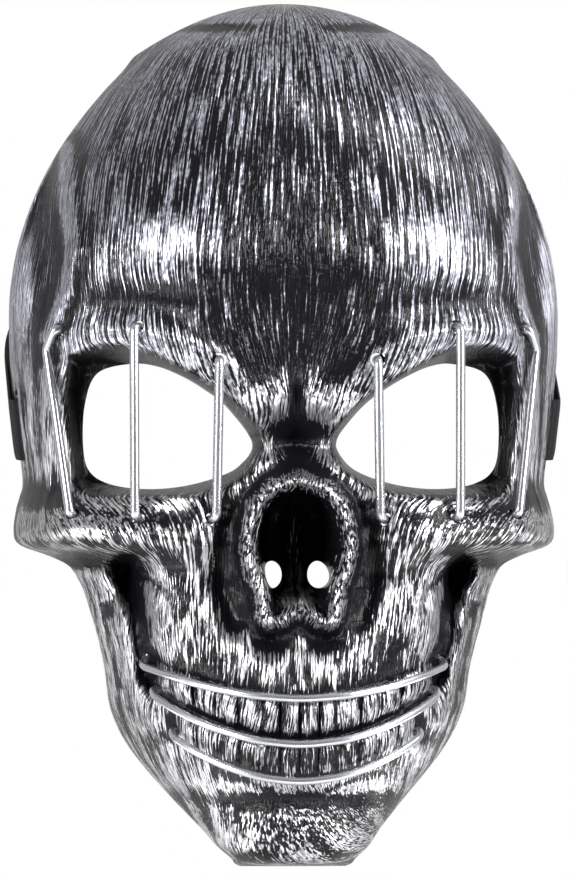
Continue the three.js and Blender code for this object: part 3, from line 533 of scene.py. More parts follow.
# Low carving that only the finer sheet carries: across, level, wide, tall, lift in metres, and
# width, lift in metres and path
carving = {
    "mounds": [
        (0.5, 0.655, 0.25, 0.02, 1.9 * mm),
        (0.1, 0.262, 0.05, 0.012, -1.5 * mm),
        (0, 0.293, 0.04, 0.014, 1.6 * mm),
        (0.16, 0.285, 0.05, 0.014, 0.8 * mm),
        (0.88, 0.396, 0.09, 0.024, 2 * mm),
        (0, 0.078, 0.34, 0.013, 1.8 * mm),
        (0.28, 0.967, 0.11, 0.007, 2.5 * mm),
    ],
    "paths": [
        (0.024, 0.5 * mm, [
            (0.1, 0.53), (0.19, 0.558), (0.3, 0.589), (0.427, 0.608), (0.573, 0.616), (0.74, 0.61)]),
        (0.012, -0.9 * mm, [
            (0.675, 0.3), (0.66, 0.275), (0.645, 0.252), (0.631, 0.232), (0.616, 0.2055)]),
        (0.02, -1.5 * mm, [(0.66, 0.3), (0.65, 0.29)]),
        (0.016, 1.6 * mm, [
            (0.86, 0.366), (0.7, 0.364), (0.6, 0.36), (0.52, 0.349), (0.46, 0.327), (0.43, 0.3)]),
        (0.016, -1.3 * mm, [(0.8, 0.35), (0.7, 0.35), (0.6, 0.346), (0.54, 0.337), (0.5, 0.322)]),
        (0.012, -1 * mm, [(0.02, 0.25), (0.025, 0.215)]),
        (0.02, 1.4 * mm, ridges["templeLine"][3]),
        (0.016, -0.5 * mm, [(0.1, 0.09), (0.19, 0.1), (0.3, 0.108)]),
    ],
    "ringWidth": 0.022,
    "ringLift": 2 * mm,
    "ditchAway": 0.05,
    "ditchWidth": 0.02,
    "ditchLift": -1.8 * mm,
    "wave": (3.4 * mm, 15 * mm, 1.3 * mm),
    "ripple": (1.5 * mm, 7 * mm, 0.5 * mm),
    "smoothAbove": 0.62,
    "smoothBelow": 0.5,
    "smoothShare": 0.12,
    # Spots with less silver, and with more where the share is negative. They are partly uneven coverage and
    # partly painted shade and painted highlights: the forehead's darker middle, a painted shadow under the
    # cheekbones, and painted highlights on the cheekbones' ends and the temples. Each is across, level,
    # wide, tall, less
    "coverageAndPaintedLight": [
        (0, 0.69, 0.34, 0.07, 0.4), (0, 0.82, 0.6, 0.1, 0.16), (0, 0.6, 0.24, 0.04, 0.28),
        (-0.75, 0.69, 0.1, 0.06, 0.16), (0.76, 0.69, 0.1, 0.08, 0.12), (0, 0.014, 0.25, 0.01, -0.2),
        (-0.8, 0.385, 0.08, 0.016, -0.25), (0.82, 0.385, 0.07, 0.016, -0.2),
        (-0.66, 0.25, 0.06, 0.08, -0.15), (-0.47, 0.717, 0.12, 0.02, -0.2),
        (0.5, 0.73, 0.12, 0.04, -0.2), (0.5, 0.868, 0.1, 0.03, -0.2), (-0.5, 0.655, 0.16, 0.016, 0.2),
        (0, 0.125, 0.36, 0.016, 0.3), (0, 0.165, 0.36, 0.02, 0.06), (-0.6, 0.385, 0.35, 0.03, 0.1),
        (0.6, 0.385, 0.35, 0.03, 0.16), (-0.42, 0.3, 0.12, 0.04, 0.08), (0, 0.06, 0.3, 0.025, 0.14),
        (0, 0.95, 0.5, 0.05, -0.05),
    ],
    "coverageAndPaintedLightBoth": [
        (0.89, 0.71, 0.08, 0.09, -0.36), (0.93, 0.52, 0.08, 0.08, -0.14),
        (0.42, 0.1, 0.1, 0.04, -0.14), (0.27, 0.05, 0.07, 0.03, -0.14),
        (0.46, 0.145, 0.07, 0.025, -0.25), (0.3, 0.07, 0.06, 0.03, -0.2),
        (0.2, 0.098, 0.12, 0.01, -0.2), (0.72, 0.352, 0.14, 0.009, 0.4), (0.5, 0.3, 0.04, 0.04, -0.25),
    ],
    "speckles": [(0.12, 0.05, 0.6, 0.045, 1)],
    "specklesBoth": [(0.7, 0.4, 0.3, 0.02, 0.6)],
}


def carvedLift(x, z):
    side, level = np.abs(x), levelOf(z)
    lift = np.zeros(x.shape)
    for *mound, height in carving["mounds"]:
        lift += height * np.exp(-awayFrom(side, z, *mound))
    for width, height, path in carving["paths"]:
        distance, _ = nearestOn(path, side, z)
        lift += height * bell(distance / (width * half))
    ringAway = depthInside(noseOutline, x, z) / half
    lift += carving["ringLift"] * bell(ringAway / carving["ringWidth"])
    ditch = bell((np.abs(ringAway) - carving["ditchAway"]) / carving["ditchWidth"])
    lift += carving["ditchLift"] * ditch
    below, above = carving["smoothBelow"], carving["smoothAbove"]
    calm = smoothStep((level - below) / (above - below))
    for seed, (wide, long, height) in enumerate((carving["wave"], carving["ripple"])):
        noise = softNoise(acrossStroke / wide + 64, alongStroke / long + 64, seed) - 0.5
        lift += height * noise * (1 - (1 - carving["smoothShare"]) * calm)
    return lift


# How the silver follows the relief, the eye holes and the nose's ring
brushing = {
    "raisedBlur": 40,
    "raised": (3 * mm, -0.4, 0.04),
    "crispBlur": 8,
    "crisp": (0.5 * mm, -0.2, 0.1),
    "socketRun": 2.5 * mm,
    "noseFrom": 1.5 * mm,
    "noseRun": 1.5 * mm,
    "noseLess": 0.55,
    # A band of painted shade outside the nose's ring: how much less silver, how far out, how wide
    "ringPaintedShade": (0.2, 4 * mm, 1.5 * mm),
    "ringSpeckles": 3 * mm,
    "mottleLevel": 0.5,
    "mottleRun": 0.14,
}


def bothSides(rows):
    return rows + [(-across, *rest) for across, *rest in rows]


def clippedShare(relief, rule):
    size, least, most = rule
    return np.clip(relief / size, least, most)


print("carving the fine sheet")
edgeFade = (sheetReach - depth * sectionGrid["rim"]) / (depth * shell["edgeFade"])
inSocket = smoothStep(depthInside(socketEdge, np.abs(sheetX), sheetZ) / brushing["socketRun"])
carved = carvedLift(sheetX, sheetZ) * smoothStep(edgeFade) * (1 - inSocket)
outer[..., 1] -= carved
mottle = 1 - smoothStep((levelOf(sheetZ) - brushing["mottleLevel"]) / brushing["mottleRun"])

# Dry brushing leaves its silver on what stands out, and little of it in what lies deep
relief = sheetReach + carved - reachOn(sectionGrid, sheetX)
raised = relief - blurred(relief[..., None], brushing["raisedBlur"])[..., 0]
crisp = relief - blurred(relief[..., None], brushing["crispBlur"])[..., 0]
# The share of silver: dry brushing on the relief, with painted shade and painted highlights added below
silverAndPaintedLight = 0.5 + clippedShare(raised, brushing["raised"]) + clippedShare(crisp, brushing["crisp"])
# Less silver at these spots, and more where the share is negative: partly uneven coverage, partly painted
# shade and painted highlights
for *coverageAndLightSpot, less in carving["coverageAndPaintedLight"] + bothSides(carving["coverageAndPaintedLightBoth"]):
    silverAndPaintedLight -= less * np.exp(-awayFrom(sheetX, sheetZ, *coverageAndLightSpot))
ringAway = depthInside(noseOutline, sheetX, sheetZ)
inNose = smoothStep((ringAway - brushing["noseFrom"]) / brushing["noseRun"])
# Painted shade: less silver in a band outside the nose's ring
dark, darkAway, darkWidth = brushing["ringPaintedShade"]
silverAndPaintedLight -= dark * bell((ringAway + darkAway) / darkWidth)
silverAndPaintedLight = silverAndPaintedLight * (1 - inSocket) * (1 - brushing["noseLess"] * inNose)
speckle = bell(ringAway / brushing["ringSpeckles"])
for *patch, share in carving["speckles"] + bothSides(carving["specklesBoth"]):
    speckle = np.maximum(speckle, share * np.exp(-awayFrom(sheetX, sheetZ, *patch)))


def meshObject(name, points, faces, smooth=True):
    mesh = bpy.data.meshes.new(name)
    mesh.from_pydata([tuple(point) for point in points], [], [tuple(face) for face in faces])
    mesh.update()
    thing = bpy.data.objects.new(name, mesh)
    bpy.context.scene.collection.objects.link(thing)
    if smooth:
        mesh.shade_smooth()
    return thing


# The closed shell: the fine outer sheet, an inner sheet half as fine, and a strip between them
def shellMesh():
    rows, columns = outer.shape[:2]
    inward = normals.copy()
    inward[:, [0, -1], 1] = 0
    inward /= np.linalg.norm(inward, axis=2, keepdims=True)
    edgeKept = blurred(outer, 6)
    edgeKept[[0, -1]], edgeKept[:, [0, -1]] = outer[[0, -1]], outer[:, [0, -1]]
    inner = (edgeKept - inward * wall)[::2, ::2]
    innerRows, innerColumns = inner.shape[:2]
    points = np.concatenate([outer.reshape(-1, 3), inner.reshape(-1, 3)])
    offset = rows * columns
    a = (np.arange(rows - 1)[:, None] * columns + np.arange(columns - 1)).ravel()
    faces = np.stack([a, a + columns, a + columns + 1, a + 1], axis=1).tolist()
    a = offset + np.arange(innerRows - 1)[:, None] * innerColumns + np.arange(innerColumns - 1)
    a = a.ravel()
    faces += np.stack([a, a + 1, a + innerColumns + 1, a + innerColumns], axis=1).tolist()
    edge = [(row, 0) for row in range(rows)]
    edge += [(rows - 1, column) for column in range(1, columns)]
    edge += [(row, columns - 1) for row in range(rows - 2, -1, -1)]
    edge += [(0, column) for column in range(columns - 2, 0, -1)]
    outside = [row * columns + column for row, column in edge]
    inside = [offset + (row // 2) * innerColumns + column // 2 for row, column in edge]
    for k in range(0, len(edge), 2):
        after = (k + 2) % len(edge)
        faces.append((outside[k + 1], outside[k], inside[k]))
        faces.append((outside[after], outside[k + 1], inside[k]))
        faces.append((outside[after], inside[k], inside[after]))
    return meshObject("maskShell", points, faces)


# A straight prism through a closed outline of points, along a direction
def prism(outline, along):
    count = len(outline)
    points = [point - along for point in outline] + [point + along for point in outline]
    faces = [tuple(range(count))[::-1], tuple(range(count, 2 * count))]
    faces += [(i, (i + 1) % count, (i + 1) % count + count, i + count) for i in range(count)]
    return points, faces


def smoothLoop(points, steps):
    points = np.array(points)
    before, after, beyond = (np.roll(points, shift, axis=0) for shift in (1, -1, -2))
    share = (np.arange(steps) / steps)[:, None, None]
    loop = curveThrough(before, points, after, beyond, share)
    return loop.transpose(1, 0, 2).reshape(-1, 2)


# A place on the shell's outer face at (across, level), and the direction straight out of it
def placeOnShell(across, level):
    x, z = across * half, heightOf(level)
    step = wall / 2
    slopeX = (reachAt(x + step, z) - reachAt(x - step, z)) / (2 * step)
    slopeZ = (reachAt(x, z + step) - reachAt(x, z - step)) / (2 * step)
    out = Vector((-slopeX, -1, -slopeZ)).normalized()
    return Vector((x, -float(reachAt(x, z)), z)), out


# The light wires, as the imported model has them
wires = {
    "eyeDiameter": 2.8 * mm,
    "mouthDiameter": 2.3 * mm,
    "sides": 16,
    "holeGap": 0.75 * mm,
    "holeSides": 24,
    "restGap": 0.7 * mm,
    "bend": 2.1 * mm,
    "slightTurn": 0.9,
    "easyBend": 5 * mm,
    "sag": 3 * mm,
    "tail": 7 * mm,
    "strandClear": 2 * mm,
    "eyeBars": [
        {"over": (0.836, 0.618), "bend": (0.862, 0.596), "under": (0.795, 0.404)},
        {"over": (0.574, 0.62), "under": (0.574, 0.402)},
        {"over": (0.283, 0.582), "under": (0.308, 0.4)},
    ],
    "mouthStrands": [(0.525, 0.238, 0.195), (0.49, 0.2035, 0.144), (0.425, 0.157, 0.1055)],
    "strandSteps": 10,
}


def roundHole(across, level, diameter):
    point, out = placeOnShell(across, level)
    radius = diameter / 2 + wires["holeGap"]
    side = out.orthogonal().normalized()
    up = out.cross(side)
    angles = [2 * math.pi * i / wires["holeSides"] for i in range(wires["holeSides"])]
    outline = [point + radius * (math.cos(angle) * side + math.sin(angle) * up) for angle in angles]
    return prism(outline, out * 2 * wall * 1.5)


def holeCutters():
    cutters = []
    nostrilWide, nostrilTall = shell["nostrilWidth"] / 2, shell["nostrilHeight"] / 2
    for side in (-1, 1):
        loop = smoothLoop([(side * across * half, heightOf(level)) for across, level in eyeEdge], 8)
        outline = [Vector((x, -depth / 2, z)) for x, z in loop[::side]]
        cutters.append(prism(outline, Vector((0, depth, 0))))
        nostrilX, nostrilZ = side * shell["nostrilAcross"] * half, heightOf(shell["nostrilLevel"])
        middle = Vector((nostrilX, -depth / 2, nostrilZ))
        count = shell["nostrilSides"]
        angles = [side * 2 * math.pi * i / count for i in range(count)]
        outline = [
            middle + Vector((nostrilWide * math.cos(a), 0, nostrilTall * math.sin(a))) for a in angles]
        cutters.append(prism(outline, Vector((0, depth, 0))))
        slot = Vector((side * half, -shell["slotInset"], 0))
        halfSlot = Vector((0, shell["slotWidth"] / 2, 0)), Vector((0, 0, shell["slotLength"] / 2))
        corners = ((-1, -1), (1, -1), (1, 1), (-1, 1))
        outline = [slot + i * halfSlot[0] + j * halfSlot[1] for i, j in corners]
        cutters.append(prism(outline, Vector((half / 2, 0, 0))))
        for bar in wires["eyeBars"]:
            for across, level in (bar["over"], bar["under"]):
                cutters.append(roundHole(side * across, level, wires["eyeDiameter"]))
        for across, corner, _ in wires["mouthStrands"]:
            cutters.append(roundHole(side * across, corner, wires["mouthDiameter"]))
    points, faces = [], []
    for cutterPoints, cutterFaces in cutters:
        faces += [tuple(i + len(points) for i in face) for face in cutterFaces]
        points += cutterPoints
    return meshObject("holeCutters", points, faces, smooth=False)


def storeOnPoints(thing, sources, values):
    tree = KDTree(len(sources))
    for i, source in enumerate(sources):
        tree.insert(source, i)
    tree.balance()
    nearest = [tree.find(vertex.co)[1] for vertex in thing.data.vertices]
    for name, field in values.items():
        attribute = thing.data.attributes.new(name, "FLOAT", "POINT")
        attribute.data.foreach_set("value", field[nearest].astype(np.float32))


def cutShell():
    whole = shellMesh()
    sources = [vertex.co.copy() for vertex in whole.data.vertices]
    cutters = holeCutters()
    bm = bmesh.new()
    bm.from_mesh(cutters.data)
    bmesh.ops.recalc_face_normals(bm, faces=bm.faces)
    bm.to_mesh(cutters.data)
    bm.free()
    cut = whole.modifiers.new("holes", "BOOLEAN")
    cut.operation = "DIFFERENCE"
    cut.object = cutters
    cut.solver = "MANIFOLD"
    bpy.context.view_layer.update()
    evaluated = whole.evaluated_get(bpy.context.evaluated_depsgraph_get())
    final = bpy.data.meshes.new_from_object(evaluated)
    whole.modifiers.clear()
    whole.data = final
    bpy.data.objects.remove(cutters)
    final.shade_smooth()
    final.set_sharp_from_angle(angle=math.radians(50))
    innerCount = outer[::2, ::2].shape[0] * outer[::2, ::2].shape[1]
    fields = {
        "acrossStroke": acrossStroke, "alongStroke": alongStroke, "silverAndPaintedLight": silverAndPaintedLight, "mottle": mottle,
        "cavity": inNose, "speckle": speckle, "inside": np.zeros_like(silverAndPaintedLight),
    }
    values = {}
    for name, field in fields.items():
        insideValue = np.ones(innerCount) if name == "inside" else field[::2, ::2].ravel()
        values[name] = np.concatenate([field.ravel(), insideValue])
    storeOnPoints(whole, sources, values)
    return whole


print("cutting the shell's holes")
maskShell = cutShell()
print("shell has", len(maskShell.data.polygons), "faces and", len(maskShell.data.vertices), "points")


# A round wire through knots, with a bend of the named radius at each of them
def roundedLine(knots, bend, steps):
    line = [knots[0]]
    for before, knot, after in zip(knots, knots[1:], knots[2:]):
        toBefore, toAfter = before - knot, after - knot
        turn = math.pi - toBefore.angle(toAfter)
        trim = bend * math.tan(turn / 2) if turn > wires["slightTurn"] else wires["easyBend"]
        trim = min(trim, toBefore.length / 2, toAfter.length / 2)
        start, end = knot + toBefore.normalized() * trim, knot + toAfter.normalized() * trim
        for i in range(steps + 1):
            t = i / steps
            line.append((1 - t) ** 2 * start + 2 * t * (1 - t) * knot + t ** 2 * end)
    return line + [knots[-1]]


def sweptWire(name, knots, diameter):
    line = roundedLine(knots, wires["bend"], 6)
    radius, sides = diameter / 2, wires["sides"]
    kept = [line[0]]
    for point in line[1:]:
        if (point - kept[-1]).length > 0.05 * mm:
            kept.append(point)
    tangents = []
    for i, point in enumerate(kept):
        before, after = kept[max(i - 1, 0)], kept[min(i + 1, len(kept) - 1)]
        tangents.append((after - before).normalized())
    side = tangents[0].orthogonal().normalized()
    points, faces = [], []
    for point, tangent in zip(kept, tangents):
        side = (side - tangent * side.dot(tangent)).normalized()
        up = tangent.cross(side)
        for i in range(sides):
            angle = 2 * math.pi * i / sides
            points.append(point + radius * (math.cos(angle) * side + math.sin(angle) * up))
    for ring in range(len(kept) - 1):
        for i in range(sides):
            a, b = ring * sides + i, ring * sides + (i + 1) % sides
            faces.append((a, b, b + sides, a + sides))
    faces.append(tuple(range(sides))[::-1])
    last = (len(kept) - 1) * sides
    faces.append(tuple(range(last, last + sides)))
    wire = meshObject(name, points, faces)
    wire.data.set_sharp_from_angle(angle=math.radians(60))
    return wire


# How far a wire's middle lies over the shell's outer face, in front of the shell and behind it
def wireLifts(diameter):
    lift = diameter / 2 + wires["restGap"]
    return lift, -(wall + lift)


def eyeWireKnots(side):
    onTop, behind = wireLifts(wires["eyeDiameter"])
    knots = []
    for i, bar in enumerate(wires["eyeBars"]):
        over = placeOnShell(side * bar["over"][0], bar["over"][1])
        under = placeOnShell(side * bar["under"][0], bar["under"][1])
        run = [over[0] + over[1] * behind, over[0] + over[1] * onTop]
        if "bend" in bar:
            point, out = placeOnShell(side * bar["bend"][0], bar["bend"][1])
            run.append(point + out * onTop)
        run += [under[0] + under[1] * onTop, under[0] + under[1] * behind]
        if i % 2 == 1:
            run.reverse()
            knots.append((knots[-1] + run[0]) / 2 - Vector((0, 0, wires["sag"])))
        knots += run
        if i == 0:
            knots[0] = over[0] + over[1] * (behind - wires["tail"])
    knots[-1] = under[0] + under[1] * (behind - wires["tail"])
    return knots


def mouthWireKnots():
    onTop, behind = wireLifts(wires["mouthDiameter"])
    knots = []
    clear = wires["strandClear"]
    for i, (across, corner, middle) in enumerate(wires["mouthStrands"]):
        side = -1 if i % 2 == 0 else 1
        start, startOut = placeOnShell(side * across, corner)
        end, endOut = placeOnShell(-side * across, corner)
        firstBehind = behind - (wires["tail"] if i == 0 else clear)
        lastBehind = behind - (wires["tail"] if i == len(wires["mouthStrands"]) - 1 else clear)
        knots += [start + startOut * firstBehind, start + startOut * onTop]
        for step in range(1, wires["strandSteps"]):
            share = side * math.cos(math.pi * step / wires["strandSteps"])
            level = middle + (corner - middle) * share ** 2
            point, out = placeOnShell(share * across, level)
            knots.append(point + out * (onTop + clear))
        knots += [end + endOut * onTop, end + endOut * lastBehind]
    return knots


print("bending the light wires")
eyeWireLeft = sweptWire("eyeWireLeft", eyeWireKnots(1), wires["eyeDiameter"])
eyeWireRight = sweptWire("eyeWireRight", eyeWireKnots(-1), wires["eyeDiameter"])
mouthWire = sweptWire("mouthWire", mouthWireKnots(), wires["mouthDiameter"])

# The strap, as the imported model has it, with its woven ribs
strap = {
    "width": 18 * mm,
    "thickness": 1.2 * mm,
    "back": 112 * mm,
    "rise": 54 * mm,
    "gap": 0.7 * mm,
    "sewn": 16 * mm,
    "sewnGap": 0.3 * mm,
    "merge": 5 * mm,
    "bend": 1.1 * mm,
    "ribPitch": 1.5 * mm,
    "ribDeep": 0.12 * mm,
    "ribSteps": 6,
    "columns": 14,
}


def strapLine():
    outside = sideAt(0, 0) + strap["gap"] + strap["thickness"] / 2
    inside = sideAt(0, shell["slotInset"]) - wall - strap["gap"] - strap["thickness"] / 2
    sewn = outside - strap["thickness"] - strap["sewnGap"]
    straight = strap["merge"] + strap["sewn"]
    slot = -shell["slotInset"]
    knots = [
        (sewn, straight), (sewn, strap["merge"]), (inside, 0), (inside, slot), (outside, slot),
        (outside, straight)]
    sideLine = roundedLine([Vector((x, y, 0)) for x, y in knots], strap["bend"], 8)
    arc = []
    for i in range(121):
        angle = math.pi * i / 120
        y = straight + (strap["back"] - straight) * math.sin(angle)
        arc.append(Vector((outside * math.cos(angle), y, 0)))
    return sideLine + arc + [Vector((-point.x, point.y, 0)) for point in sideLine[::-1]]


def strapRibbon():
    line = np.array([tuple(point)[:2] for point in strapLine()])
    line = line[np.concatenate([[True], np.linalg.norm(np.diff(line, axis=0), axis=1) > 1e-5])]
    length = np.concatenate([[0], np.cumsum(np.linalg.norm(np.diff(line, axis=0), axis=1))])
    ribStep = strap["ribPitch"] / strap["ribSteps"]
    stations = np.linspace(0, length[-1], int(length[-1] / ribStep))
    middle = np.stack([np.interp(stations, length, line[:, i]) for i in (0, 1)], axis=1)
    along = np.gradient(middle, axis=0)
    along /= np.linalg.norm(along, axis=1, keepdims=True)
    across = np.stack([along[:, 1], -along[:, 0]], axis=1)
    rib = 0.5 - 0.5 * np.cos(2 * np.pi * stations / strap["ribPitch"])
    straight = strap["merge"] + strap["sewn"]
    inset, width = shell["slotInset"], strap["width"]
    lean = (sideAt(width / 2, inset) - sideAt(-width / 2, inset)) / width
    kept = 1 - smoothStep((middle[:, 1] - straight) / (strap["back"] - straight))
    rings = []
    heights = np.linspace(-0.5, 0.5, strap["columns"])
    for side in (1, -1):
        for height in heights[::side]:
            edge = 1 - (2 * abs(height)) ** 8 * 0.5
            reach = strap["thickness"] / 2 * edge - strap["ribDeep"] * rib
            flat = middle + side * across * reach[:, None]
            risen = strap["rise"] * (flat[:, 1] + inset) / (strap["back"] + inset)
            x = flat[:, 0] + np.sign(flat[:, 0]) * lean * height * width * kept
            rings.append(np.stack([x, flat[:, 1], height * width + risen], axis=1))
    rings = np.stack(rings, axis=1)
    count = rings.shape[1]
    points = rings.reshape(-1, 3)
    faces = []
    for station in range(len(stations) - 1):
        for i in range(count):
            a, b = station * count + i, station * count + (i + 1) % count
            faces.append((a, a + count, b + count, b))
    last = (len(stations) - 1) * count
    faces.append(tuple(range(count)))
    faces.append(tuple(range(last, last + count))[::-1])
    thing = meshObject("headStrap", points, faces)
    thing.data.set_sharp_from_angle(angle=math.radians(60))
    attribute = thing.data.attributes.new("alongStrap", "FLOAT", "POINT")
    attribute.data.foreach_set("value", np.repeat(stations, count).astype(np.float32))
    return thing


print("weaving the strap")
headStrap = strapRibbon()


# A socket of a shader, on which Python's own operators add Math nodes
class Socket:
    def __init__(self, tree, link):
        self.tree, self.link = tree, link

    def calculate(self, operation, first, second=0):
        return self.tree.node("ShaderNodeMath", {"operation": operation}, {0: first, 1: second})

    def __add__(self, other):
        return self.calculate("ADD", self, other)

    def __radd__(self, other):
        return self.calculate("ADD", other, self)

    def __sub__(self, other):
        return self.calculate("SUBTRACT", self, other)

    def __rsub__(self, other):
        return self.calculate("SUBTRACT", other, self)

    def __mul__(self, other):
        return self.calculate("MULTIPLY", self, other)

    def __rmul__(self, other):
        return self.calculate("MULTIPLY", other, self)

    def __truediv__(self, other):
        return self.calculate("DIVIDE", self, other)


class Shading:
    def __init__(self, name):
        self.material = bpy.data.materials.new(name)
        self.material.use_nodes = True
        self.nodes = self.material.node_tree.nodes
        self.links = self.material.node_tree.links
        self.surface = self.nodes["Principled BSDF"]

    def give(self, socket, value):
        if isinstance(value, Socket):
            self.links.new(value.link, socket)
        else:
            socket.default_value = value

    def node(self, kind, settings, values, output=0):
        made = self.nodes.new(kind)
        for name, value in settings.items():
            setattr(made, name, value)
        for name, value in values.items():
            self.give(made.inputs[name], value)
        return Socket(self, made.outputs[output])

    def stored(self, name):
        return self.node("ShaderNodeAttribute", {"attribute_name": name}, {}, "Fac")

    def place(self, x, y, z=0):
        return self.node("ShaderNodeCombineXYZ", {}, {0: x, 1: y, 2: z})

    def noise(self, vector, scale=1, detail=2, roughness=0.5):
        values = {"Vector": vector, "Scale": scale, "Detail": detail, "Roughness": roughness}
        return self.node("ShaderNodeTexNoise", {}, values, "Fac")

    # A soft step from 0 at low to 1 at high
    def step(self, value, low, high):
        settings = {"interpolation_type": "SMOOTHSTEP"}
        return self.node("ShaderNodeMapRange", settings, {0: value, 1: low, 2: high, 3: 0, 4: 1})

    def blend(self, factor, first, second):
        return self.node("ShaderNodeMix", {"data_type": "RGBA"}, {0: factor, 6: first, 7: second}, 2)

    def bump(self, height, distance, strength=1):
        values = {"Height": height, "Distance": distance, "Strength": strength}
        return self.node("ShaderNodeBump", {}, values)

    def set(self, **values):
        for name, value in values.items():
            self.give(self.surface.inputs[name.replace("_", " ")], value)


plasticLook = {
    "black": (0.004, 0.004, 0.005, 1),
    "coolSilver": (0.57, 0.575, 0.66, 1),
    "silver": (0.68, 0.68, 0.7, 1),
    "fineWidth": 0.26 * mm,
    "fineLength": 16 * mm,
    "shortWidth": 0.28 * mm,
    "shortLength": 4.4 * mm,
    "grainWidth": 0.25 * mm,
    "grainLength": 2 * mm,
    "broadWidth": 1.1 * mm,
    "broadLength": 20 * mm,
    "patchWidth": 5 * mm,
    "patchLength": 12 * mm,
    "fleckWidth": 0.36 * mm,
    "fleckLength": 0.9 * mm,
    "scuffWidth": 0.6 * mm,
    "scuffLength": 1.2 * mm,
    "worn": 0.3,
}


def brushedPlastic():
    look = plasticLook
    s = Shading("brushedPlastic")
    across, along = s.stored("acrossStroke"), s.stored("alongStroke")
    silverAndPaintedLight, mottle, inside = s.stored("silverAndPaintedLight"), s.stored("mottle"), s.stored("inside")
    cavity, speckle = s.stored("cavity"), s.stored("speckle")

    def strokes(name, offset, detail):
        place = s.place(across / look[name + "Width"], along / look[name + "Length"], offset)
        return s.noise(place, 1, detail, 0.55)

    fine, broad = strokes("fine", 0, 3), strokes("broad", 5, 2)
    fine = fine + (strokes("short", 3, 3) - fine) * mottle
    patch, scuff = strokes("patch", 9, 2), strokes("scuff", 13, 1)
    fine = fine + (strokes("fleck", 21, 2) - fine) * speckle
    height = fine * 0.8 + broad * 0.08 + scuff * 0.12
    # The stored share of silver carries painted shade and painted highlights as well as the dry brushing
    level = height + (patch - 0.5) * (0.08 + mottle * 0.05) + (silverAndPaintedLight - 0.5) * 0.26
    mask = s.step(level, 0.48 + mottle * 0.025, 0.58 - mottle * 0.02)
    mask = mask * s.step(silverAndPaintedLight, 0.02, 0.2) * (1 - inside)
    tone = look["worn"] + (1 - look["worn"]) * s.step(strokes("grain", 17, 1), 0.35, 0.65)
    silver = s.blend(mottle, look["coolSilver"], look["silver"])
    colour = s.blend(mask * tone, look["black"], silver)
    s.set(Base_Color=colour, Metallic=mask * (0.95 - cavity * 0.7), Roughness=0.18 + mask * 0.14)
    s.set(Specular_IOR_Level=0.15)
    s.set(Normal=s.bump(height, 0.7 * mm))
    return s.material


def lightWire():
    s = Shading("lightWire")
    s.set(Base_Color=(0.5, 0.51, 0.54, 1), Metallic=0.9, Roughness=0.26, Coat_Weight=0.4)
    return s.material


def wovenElastic():
    s = Shading("wovenElastic")
    along = s.stored("alongStrap")
    position = s.node("ShaderNodeTexCoord", {}, {}, "Object")
    fuzz = s.noise(position, 1200, 2, 0.6)
    s.set(Base_Color=s.blend(fuzz, (0.004, 0.004, 0.004, 1), (0.02, 0.02, 0.022, 1)), Roughness=0.9)
    s.set(Specular_IOR_Level=0.2)
    rib = s.node("ShaderNodeMath", {"operation": "SINE"}, {0: along * (2 * math.pi / (0.5 * mm))})
    s.set(Normal=s.bump(rib * 0.3 + fuzz, 0.1 * mm, 0.6))
    return s.material


print("mixing the finishes")
plastic, gloss, elastic = brushedPlastic(), lightWire(), wovenElastic()
for piece, finish, node, slotName in (
    (maskShell, plastic, "mask_shell", "brushed_plastic"),
    (eyeWireLeft, gloss, "eye_wire_left", "light_wire"),
    (eyeWireRight, gloss, "eye_wire_right", "light_wire"),
    (mouthWire, gloss, "mouth_wire", "light_wire"),
    (headStrap, elastic, "head_strap", "elastic"),
):
    piece.data.materials.clear()
    piece.data.materials.append(finish)
    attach(piece, "root")
    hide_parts(node)

# The studio: a pale floor, pale all round, darker behind the camera, and soft lights
studio = {
    "floorLevel": -0.8,
    "floorRadius": 3.2,
    "azimuth": -3.5,
    "distance": 4,
    "target": (0, -0.005, -0.00285),
    "framedHeight": 0.2637,
    "sensor": 36,
}


def areaLight(name, place, target, width, height, power):
    data = bpy.data.lights.new(name, "AREA")
    data.shape = "RECTANGLE"
    data.size, data.size_y = width, height
    data.energy = power
    thing = bpy.data.objects.new(name, data)
    thing.location = place
    thing.rotation_euler = (Vector(target) - Vector(place)).to_track_quat("-Z", "Y").to_euler()
    bpy.context.scene.collection.objects.link(thing)


def layFloor():
    count = 96
    radius, level = studio["floorRadius"], studio["floorLevel"]
    angles = [2 * math.pi * i / count for i in range(count)]
    points = [(radius * math.cos(angle), radius * math.sin(angle), level) for angle in angles]
    floor = meshObject("floor", points, [tuple(range(count))])
    s = Shading("floorPaint")
    s.set(Base_Color=(0.6, 0.6, 0.6, 1), Roughness=0.9)
    floor.data.materials.append(s.material)


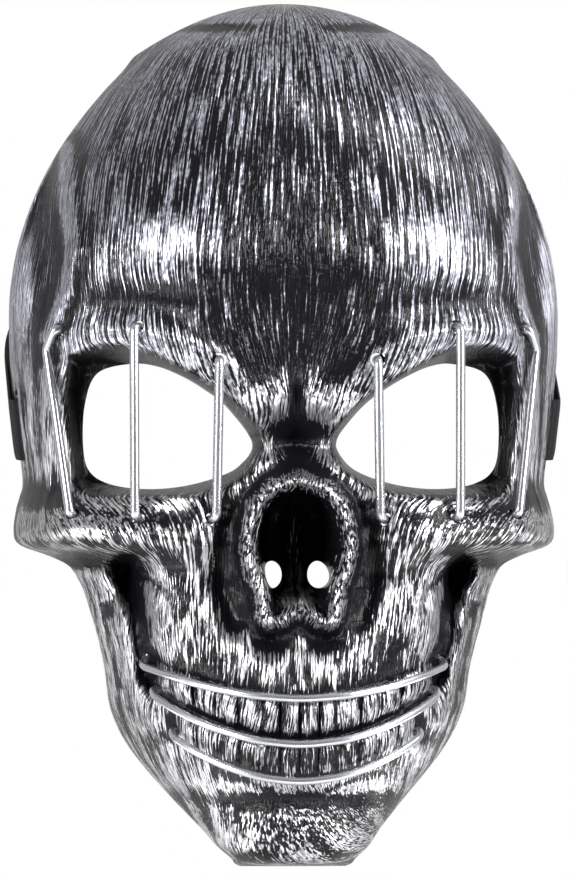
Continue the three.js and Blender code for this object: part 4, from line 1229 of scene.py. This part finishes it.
def lightStudio():
    world = bpy.data.worlds.new("studioWorld")
    world.use_nodes = True
    bpy.context.scene.world = world
    tree = world.node_tree
    nodes, links = tree.nodes, tree.links
    place = nodes.new("ShaderNodeTexCoord")
    slant = nodes.new("ShaderNodeVectorMath")
    slant.operation = "DOT_PRODUCT"
    slant.inputs[1].default_value = (0, 0.85, 0.5)
    links.new(place.outputs["Generated"], slant.inputs[0])
    ramp = nodes.new("ShaderNodeMapRange")
    ramp.interpolation_type = "SMOOTHSTEP"
    ramp.inputs[1].default_value, ramp.inputs[2].default_value = -0.6, 0.9
    ramp.inputs[3].default_value, ramp.inputs[4].default_value = 0.03, 0.6
    links.new(slant.outputs["Value"], ramp.inputs[0])
    path = nodes.new("ShaderNodeLightPath")
    shown = nodes.new("ShaderNodeMix")
    links.new(path.outputs["Is Camera Ray"], shown.inputs[0])
    links.new(ramp.outputs[0], shown.inputs[2])
    shown.inputs[3].default_value = 1.0
    links.new(shown.outputs[0], nodes["Background"].inputs["Strength"])
    nodes["Background"].inputs["Color"].default_value = (1, 1, 1, 1)
    areaLight("keyLeft", (-1.3, -1.3, 0.5), (0, 0, 0.02), 0.5, 0.45, 44)
    areaLight("keyRight", (1.5, -1.1, 0.5), (0, 0, 0.02), 0.4, 0.8, 60)
    areaLight("topRight", (1.2, -0.7, 1.35), (0, 0, 0.05), 0.35, 0.35, 30)
    areaLight("lowFill", (0.1, -0.8, -0.7), (0, 0, -0.1), 0.5, 0.12, 0.8)
    areaLight("jawLeft", (-1.5, -0.9, -0.5), (0, 0, -0.08), 0.25, 0.5, 26)
    areaLight("jawRight", (1.5, -0.9, -0.5), (0, 0, -0.08), 0.2, 0.5, 13)
    areaLight("underLeft", (-0.9, 0.3, -0.72), (0, 0, -0.1), 0.5, 0.3, 5)
    areaLight("underRight", (0.9, 0.3, -0.72), (0, 0, -0.1), 0.5, 0.3, 5)


def placeCamera():
    data = bpy.data.cameras.new("camera")
    data.sensor_width = studio["sensor"]
    data.lens = studio["sensor"] * studio["distance"] / studio["framedHeight"]
    camera = bpy.data.objects.new("camera", data)
    angle = math.radians(studio["azimuth"])
    target = Vector(studio["target"])
    camera.location = target + studio["distance"] * Vector((math.sin(angle), -math.cos(angle), 0))
    camera.rotation_euler = (target - camera.location).to_track_quat("-Z", "Y").to_euler()
    bpy.context.scene.collection.objects.link(camera)
    bpy.context.scene.camera = camera


print("setting up the studio")
placeCamera()
layFloor()
lightStudio()
bpy.context.scene.view_settings.view_transform = "Standard"
